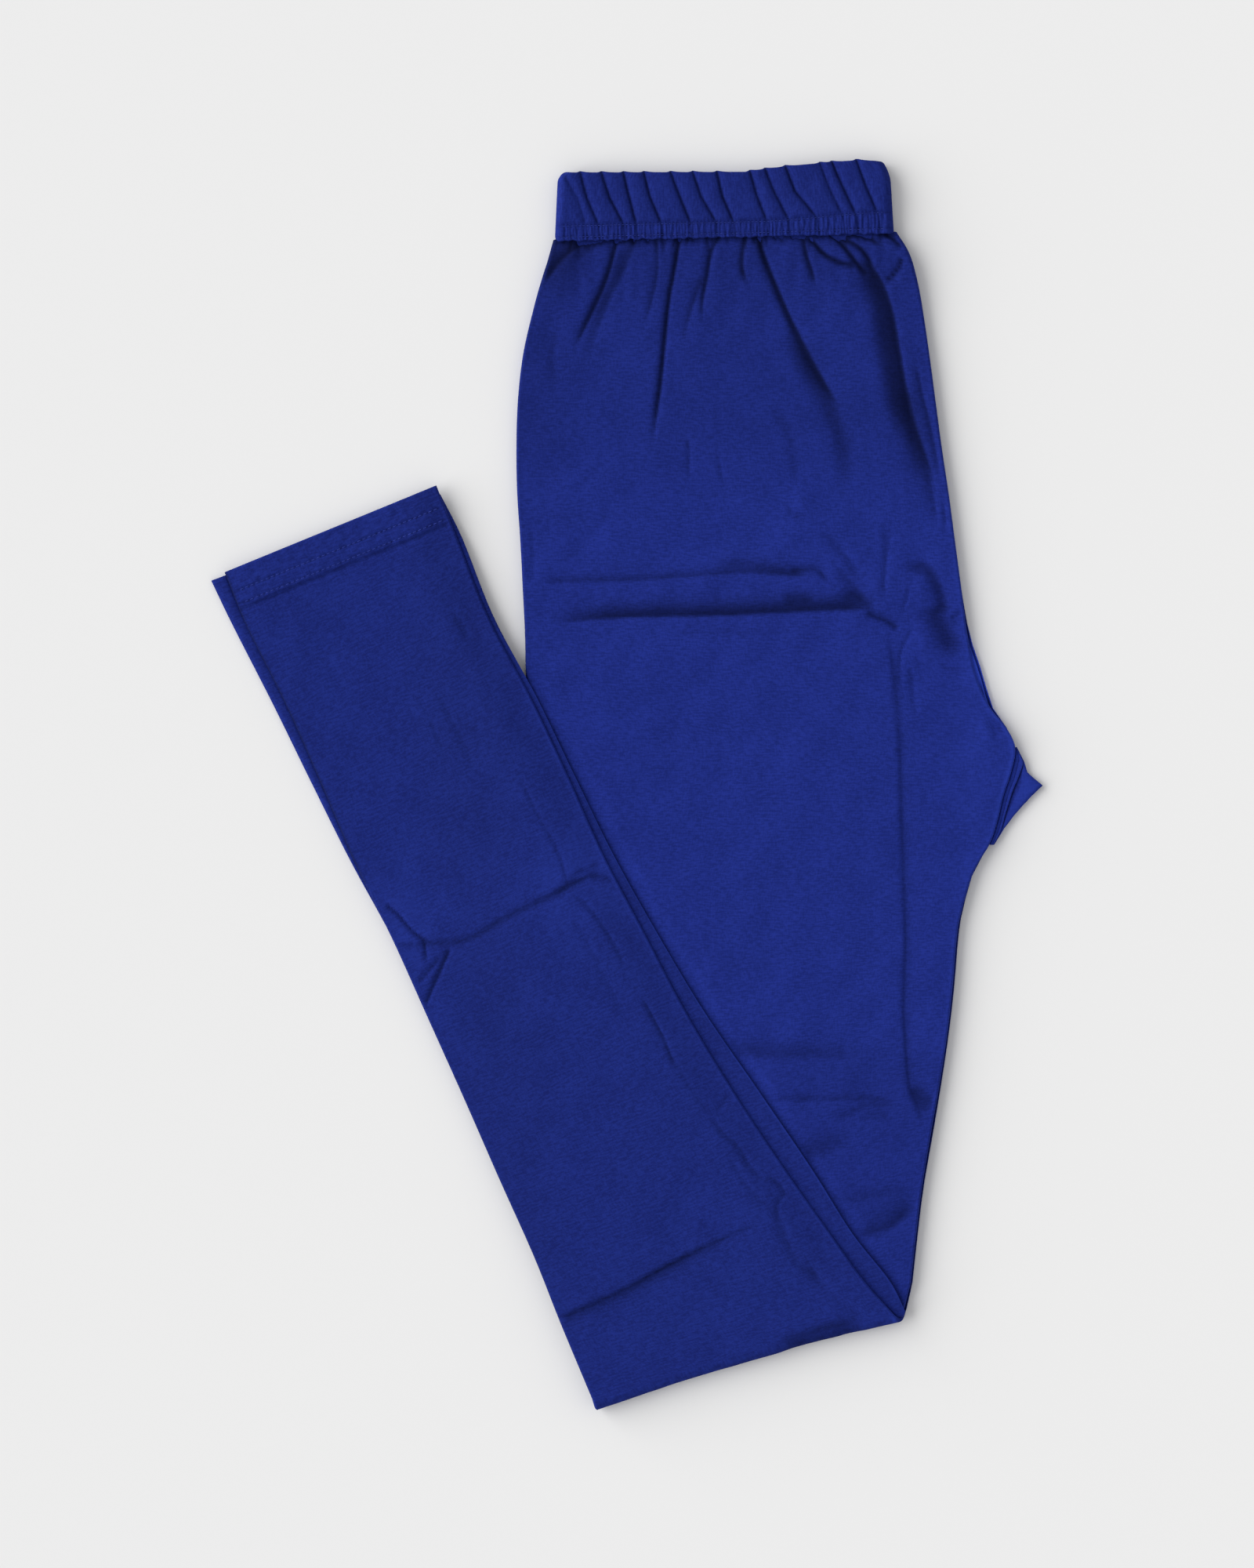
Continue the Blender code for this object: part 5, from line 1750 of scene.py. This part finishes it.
@dataclass
class CrotchGusset:
    """The gusset's corner, folded double, beside the legs' edge."""

    upper_z: float = 4.0
    lower_z: float = 3.3
    rows: int = 140
    clear: float = 0.25
    # Painted light over the whole corner, which lies in the shade of the legs' edge.
    tone: float = -0.15
    upper_end: Corner = Corner(18.8, 198.5, 198.8)
    lower_end: Corner = Corner(-31.0, 187.0, 187.2)

    def build(self) -> Piece:
        """Lays the corner out from its upper to its lower end as one closed tube.

        Returns:
            The piece.
        """
        table = np.array([self.upper_end, *GUSSET, self.lower_end])
        at = np.linspace(0.0, len(table) - 1.0, self.rows)
        y, upper, _ = spline(table, at).T
        lower = np.interp(at, range(len(table)), table[:, 2])
        leg = self.leg_edge(y) + self.clear
        step = np.maximum(np.minimum(upper, lower - 0.4), leg + 0.5)
        lower = np.maximum(lower, step + 0.2)
        notch = np.minimum(leg + 2.0, 0.5 * (leg + step))
        # Round the section: the legs' edge, the upper fold, the step down, the lower fold and the underside.
        profile = [
            (leg, 0.9), (leg, 2.2), (leg - 0.05, 3.1), (leg - 0.15, 3.6), (leg + 0.1, 3.85),
            (notch - 0.3, 3.9), (notch, 3.45), (notch + 0.25, 3.85), (0.5 * (notch + step), self.upper_z),
            (step - 0.4, 3.95), (step - 0.1, 3.7), (step, 3.3), (step - 0.1, 2.9), (step - 0.1, 2.7),
            (step + 0.1, 3.0),
            (step + 0.25 * (lower - step), self.lower_z), (step + 0.75 * (lower - step), self.lower_z - 0.1),
            (lower - 0.2, 2.9), (lower, 2.3), (lower - 0.1, 0.8), (lower - 0.35, 0.0),
            (0.5 * (leg + lower), 0.0), (leg + 0.2, 0.0), (leg, 0.3), (leg, 0.9),
        ]
        x = np.column_stack([p[0] for p in profile])
        z = np.column_stack([np.full(self.rows, p[1]) for p in profile])
        # Painted shade in the notch and along the step down to the lower fold.
        deep = np.zeros(x.shape)
        deep[:, 6], deep[:, 11:15] = 0.5, 1.4
        points = np.dstack([x, np.broadcast_to(y[:, None], x.shape), z])
        return Cloth("crotch_gusset_cloth", points, points[:, :, :2], deep, self.tone).build()

    @staticmethod
    def leg_edge(y: Array) -> Array:
        """x of the legs' right edge.

        Args:
            y: Where to read it.

        Returns:
            Its x at each y.
        """
        table = np.array([line[:4] for line in THIGH])
        fine = spline(table, np.linspace(10.0, 22.0, 400))
        return np.interp(-y, -fine[:, 3], fine[:, 2])


@dataclass
class StitchRows:
    """Rows of lockstitch on a face of the cloth."""

    name: str
    pitch: float = 2.9
    length: float = 2.15
    thread: float = 0.42
    sink: float = 0.05

    def build(self, centres: Array, ways: Array) -> Piece:
        """Models one stitch and copies it to each place, as one mesh.

        Args:
            centres: Middle of each stitch, in millimetres.
            ways: Direction of each.

        Returns:
            The stitches as one piece.
        """
        deselect()
        bpy.ops.mesh.primitive_uv_sphere_add(segments=8, ring_count=6, radius=0.5)
        model = bpy.context.object
        shape = np.empty(len(model.data.vertices) * 3, np.float32)
        model.data.vertices.foreach_get("co", shape)
        shape = shape.reshape(-1, 3).astype(float)
        faces = [tuple(p.vertices) for p in model.data.polygons]
        bpy.data.objects.remove(model, do_unlink=True)
        # The sphere's axis becomes the stitch's length, blunt at both ends.
        shape[:, 2] = np.sign(shape[:, 2]) * 0.5 * np.abs(2 * shape[:, 2]) ** 0.6 * self.length
        shape[:, :2] *= self.thread
        ways = ways / np.linalg.norm(ways, axis=1, keepdims=True)
        up = np.array([0.0, 0.0, 1.0])
        side = np.cross(ways, up)
        side /= np.linalg.norm(side, axis=1, keepdims=True)
        over = np.cross(side, ways)
        points = (
            centres[:, None, :]
            + shape[None, :, 2:3] * ways[:, None, :]
            + shape[None, :, 0:1] * side[:, None, :]
            + shape[None, :, 1:2] * over[:, None, :]
        ) * MM
        mesh = bpy.data.meshes.new(self.name)
        count = len(shape)
        every = [tuple(v + i * count for v in face) for i in range(len(centres)) for face in faces]
        mesh.from_pydata(points.reshape(-1, 3).tolist(), [], every)
        mesh.update()
        piece = bpy.data.objects.new(self.name, mesh)
        bpy.context.scene.collection.objects.link(piece)
        deselect()
        piece.select_set(True)
        bpy.context.view_layer.objects.active = piece
        skin()
        return piece

    def along(self, line: Array, height: Height) -> tuple[Array, Array]:
        """Places stitches along a line on the cloth.

        Args:
            line: Plan points of the row.
            height: Function that gives the cloth's height at x and y.

        Returns:
            Middle and direction of each stitch.
        """
        lengths = distances(line)
        at = np.arange(self.pitch, lengths[-1] - 0.5 * self.pitch, self.pitch)
        ends = []
        for shift in (-0.5 * self.length, 0.0, 0.5 * self.length):
            x = np.interp(at + shift, lengths, line[:, 0])
            y = np.interp(at + shift, lengths, line[:, 1])
            ends.append(np.column_stack([x, y, height(x, y)]))
        first, middle, last = ends
        middle[:, 2] = np.maximum(middle[:, 2], 0.5 * (first[:, 2] + last[:, 2])) - self.sink
        return middle, last - first


@dataclass
class Studio:
    """Pale paper floor, a low soft light from the upper left and an even fill, seen from straight above."""

    view_height: float = 0.8
    distance: float = 2.6
    sensor: float = 36.0
    floor_size: float = 6.0
    floor_z: float = -0.0002
    fill: float = 0.53
    key: float = 4.7
    key_direction: tuple[float, float, float] = (0.952, -0.150, -0.265)
    key_softness: float = 1.4

    def build(self) -> None:
        """Adds the floor, the lights and the camera."""
        deselect()
        bpy.ops.mesh.primitive_plane_add(size=self.floor_size, location=(0.0, 0.0, self.floor_z))
        floor = bpy.context.object
        floor.name = "floor"
        floor.data.materials.append(Paper().material())

        light = bpy.data.lights.new("key", "SUN")
        light.energy = self.key
        light.angle = self.key_softness
        lamp = bpy.data.objects.new("key", light)
        lamp.rotation_euler = Vector(self.key_direction).to_track_quat("-Z", "Y").to_euler()
        bpy.context.scene.collection.objects.link(lamp)

        world = bpy.data.worlds.new("even_fill")
        world.use_nodes = True
        world.node_tree.nodes["Background"].inputs["Color"].default_value = (1.0, 1.0, 1.0, 1.0)
        world.node_tree.nodes["Background"].inputs["Strength"].default_value = self.fill
        bpy.context.scene.world = world

        camera = bpy.data.cameras.new("camera")
        camera.sensor_fit = "VERTICAL"
        camera.sensor_height = self.sensor
        camera.lens = self.sensor * self.distance / self.view_height
        camera.clip_end = 20.0
        eye = bpy.data.objects.new("camera", camera)
        eye.location = (0.0, 0.0, self.distance)
        bpy.context.scene.collection.objects.link(eye)
        bpy.context.scene.camera = eye

        view = bpy.context.scene.view_settings
        view.view_transform = "Standard"
        view.look = "None"
        view.exposure = 0.0
        view.gamma = 1.0


def sew(rows: StitchRows, lines: list[Array], height: Height) -> Piece:
    """Sews all these lines as one piece.

    Args:
        rows: The kind of stitch.
        lines: Plan points of each line.
        height: Function that gives the cloth's height at x and y.

    Returns:
        The piece.
    """
    centres, ways = zip(*(rows.along(line, height) for line in lines))
    return rows.build(np.vstack(centres), np.vstack(ways))


def waistband_stitches(band: Waistband) -> Piece:
    """The two rows of stitches that hold the elastic's casing.

    Args:
        band: The waistband.

    Returns:
        The piece.
    """
    rows = StitchRows("waistband_stitches", pitch=band.row_pitch, length=1.45, thread=0.4)
    x = np.linspace(-34.0, 132.5, 500)
    lines = [np.column_stack([x, band.low_y(x) + height]) for height in band.seams(x)]
    return sew(rows, lines, band.top)


def hem_stitches(leg: RightLeg) -> Piece:
    """The two rows of stitches of the ankle hem.

    Args:
        leg: The right leg.

    Returns:
        The piece.
    """
    rows = StitchRows("ankle_hem_stitches", pitch=leg.hem_pitch, length=1.9)
    last = SHIN[-1]
    start, end = np.array([last.left_x, last.left_y]), np.array([last.right_x, last.right_y])
    unit = (end - start) / np.linalg.norm(end - start)
    inward = np.array([unit[1], -unit[0]])
    first, final = start + unit * (leg.hem_start - rows.pitch), end - unit * 1.8
    lines = [np.linspace(first + inward * row, final + inward * row, 80) for row in leg.hem_rows]
    return sew(rows, lines, leg.top)


def main() -> None:
    """Builds every piece of the garment and the studio round it."""
    logging.basicConfig(level=logging.INFO, format="%(name)s %(message)s")
    leg_jersey = Jersey("royal_blue_jersey").material()
    # Darker copies of the same jersey: one for the shins and inner plies, and one for the waistband that
    # stands in as painted shade for its pleats.
    shin_jersey = Jersey("royal_blue_jersey_shin", light="1E2D7E", dark="172267").material()
    band_jersey = Jersey("royal_blue_jersey_band", light="1D2B79", dark="162165").material()
    thread = Thread().material()

    dress(LeftLeg().build(), leg_jersey, ("left_leg",))
    leg = RightLeg()
    dress(leg.build(), shin_jersey, ("right_leg",))
    dress(InnerLayers().build(), shin_jersey, ("inner_layers",))
    band = Waistband()
    dress(band.build(), band_jersey, ("waistband",))
    dress(CrotchGusset().build(), leg_jersey, ("crotch_gusset",))
    dress(waistband_stitches(band), thread)
    dress(hem_stitches(leg), thread)
    Studio().build()


if __name__ == "__main__":
    main()
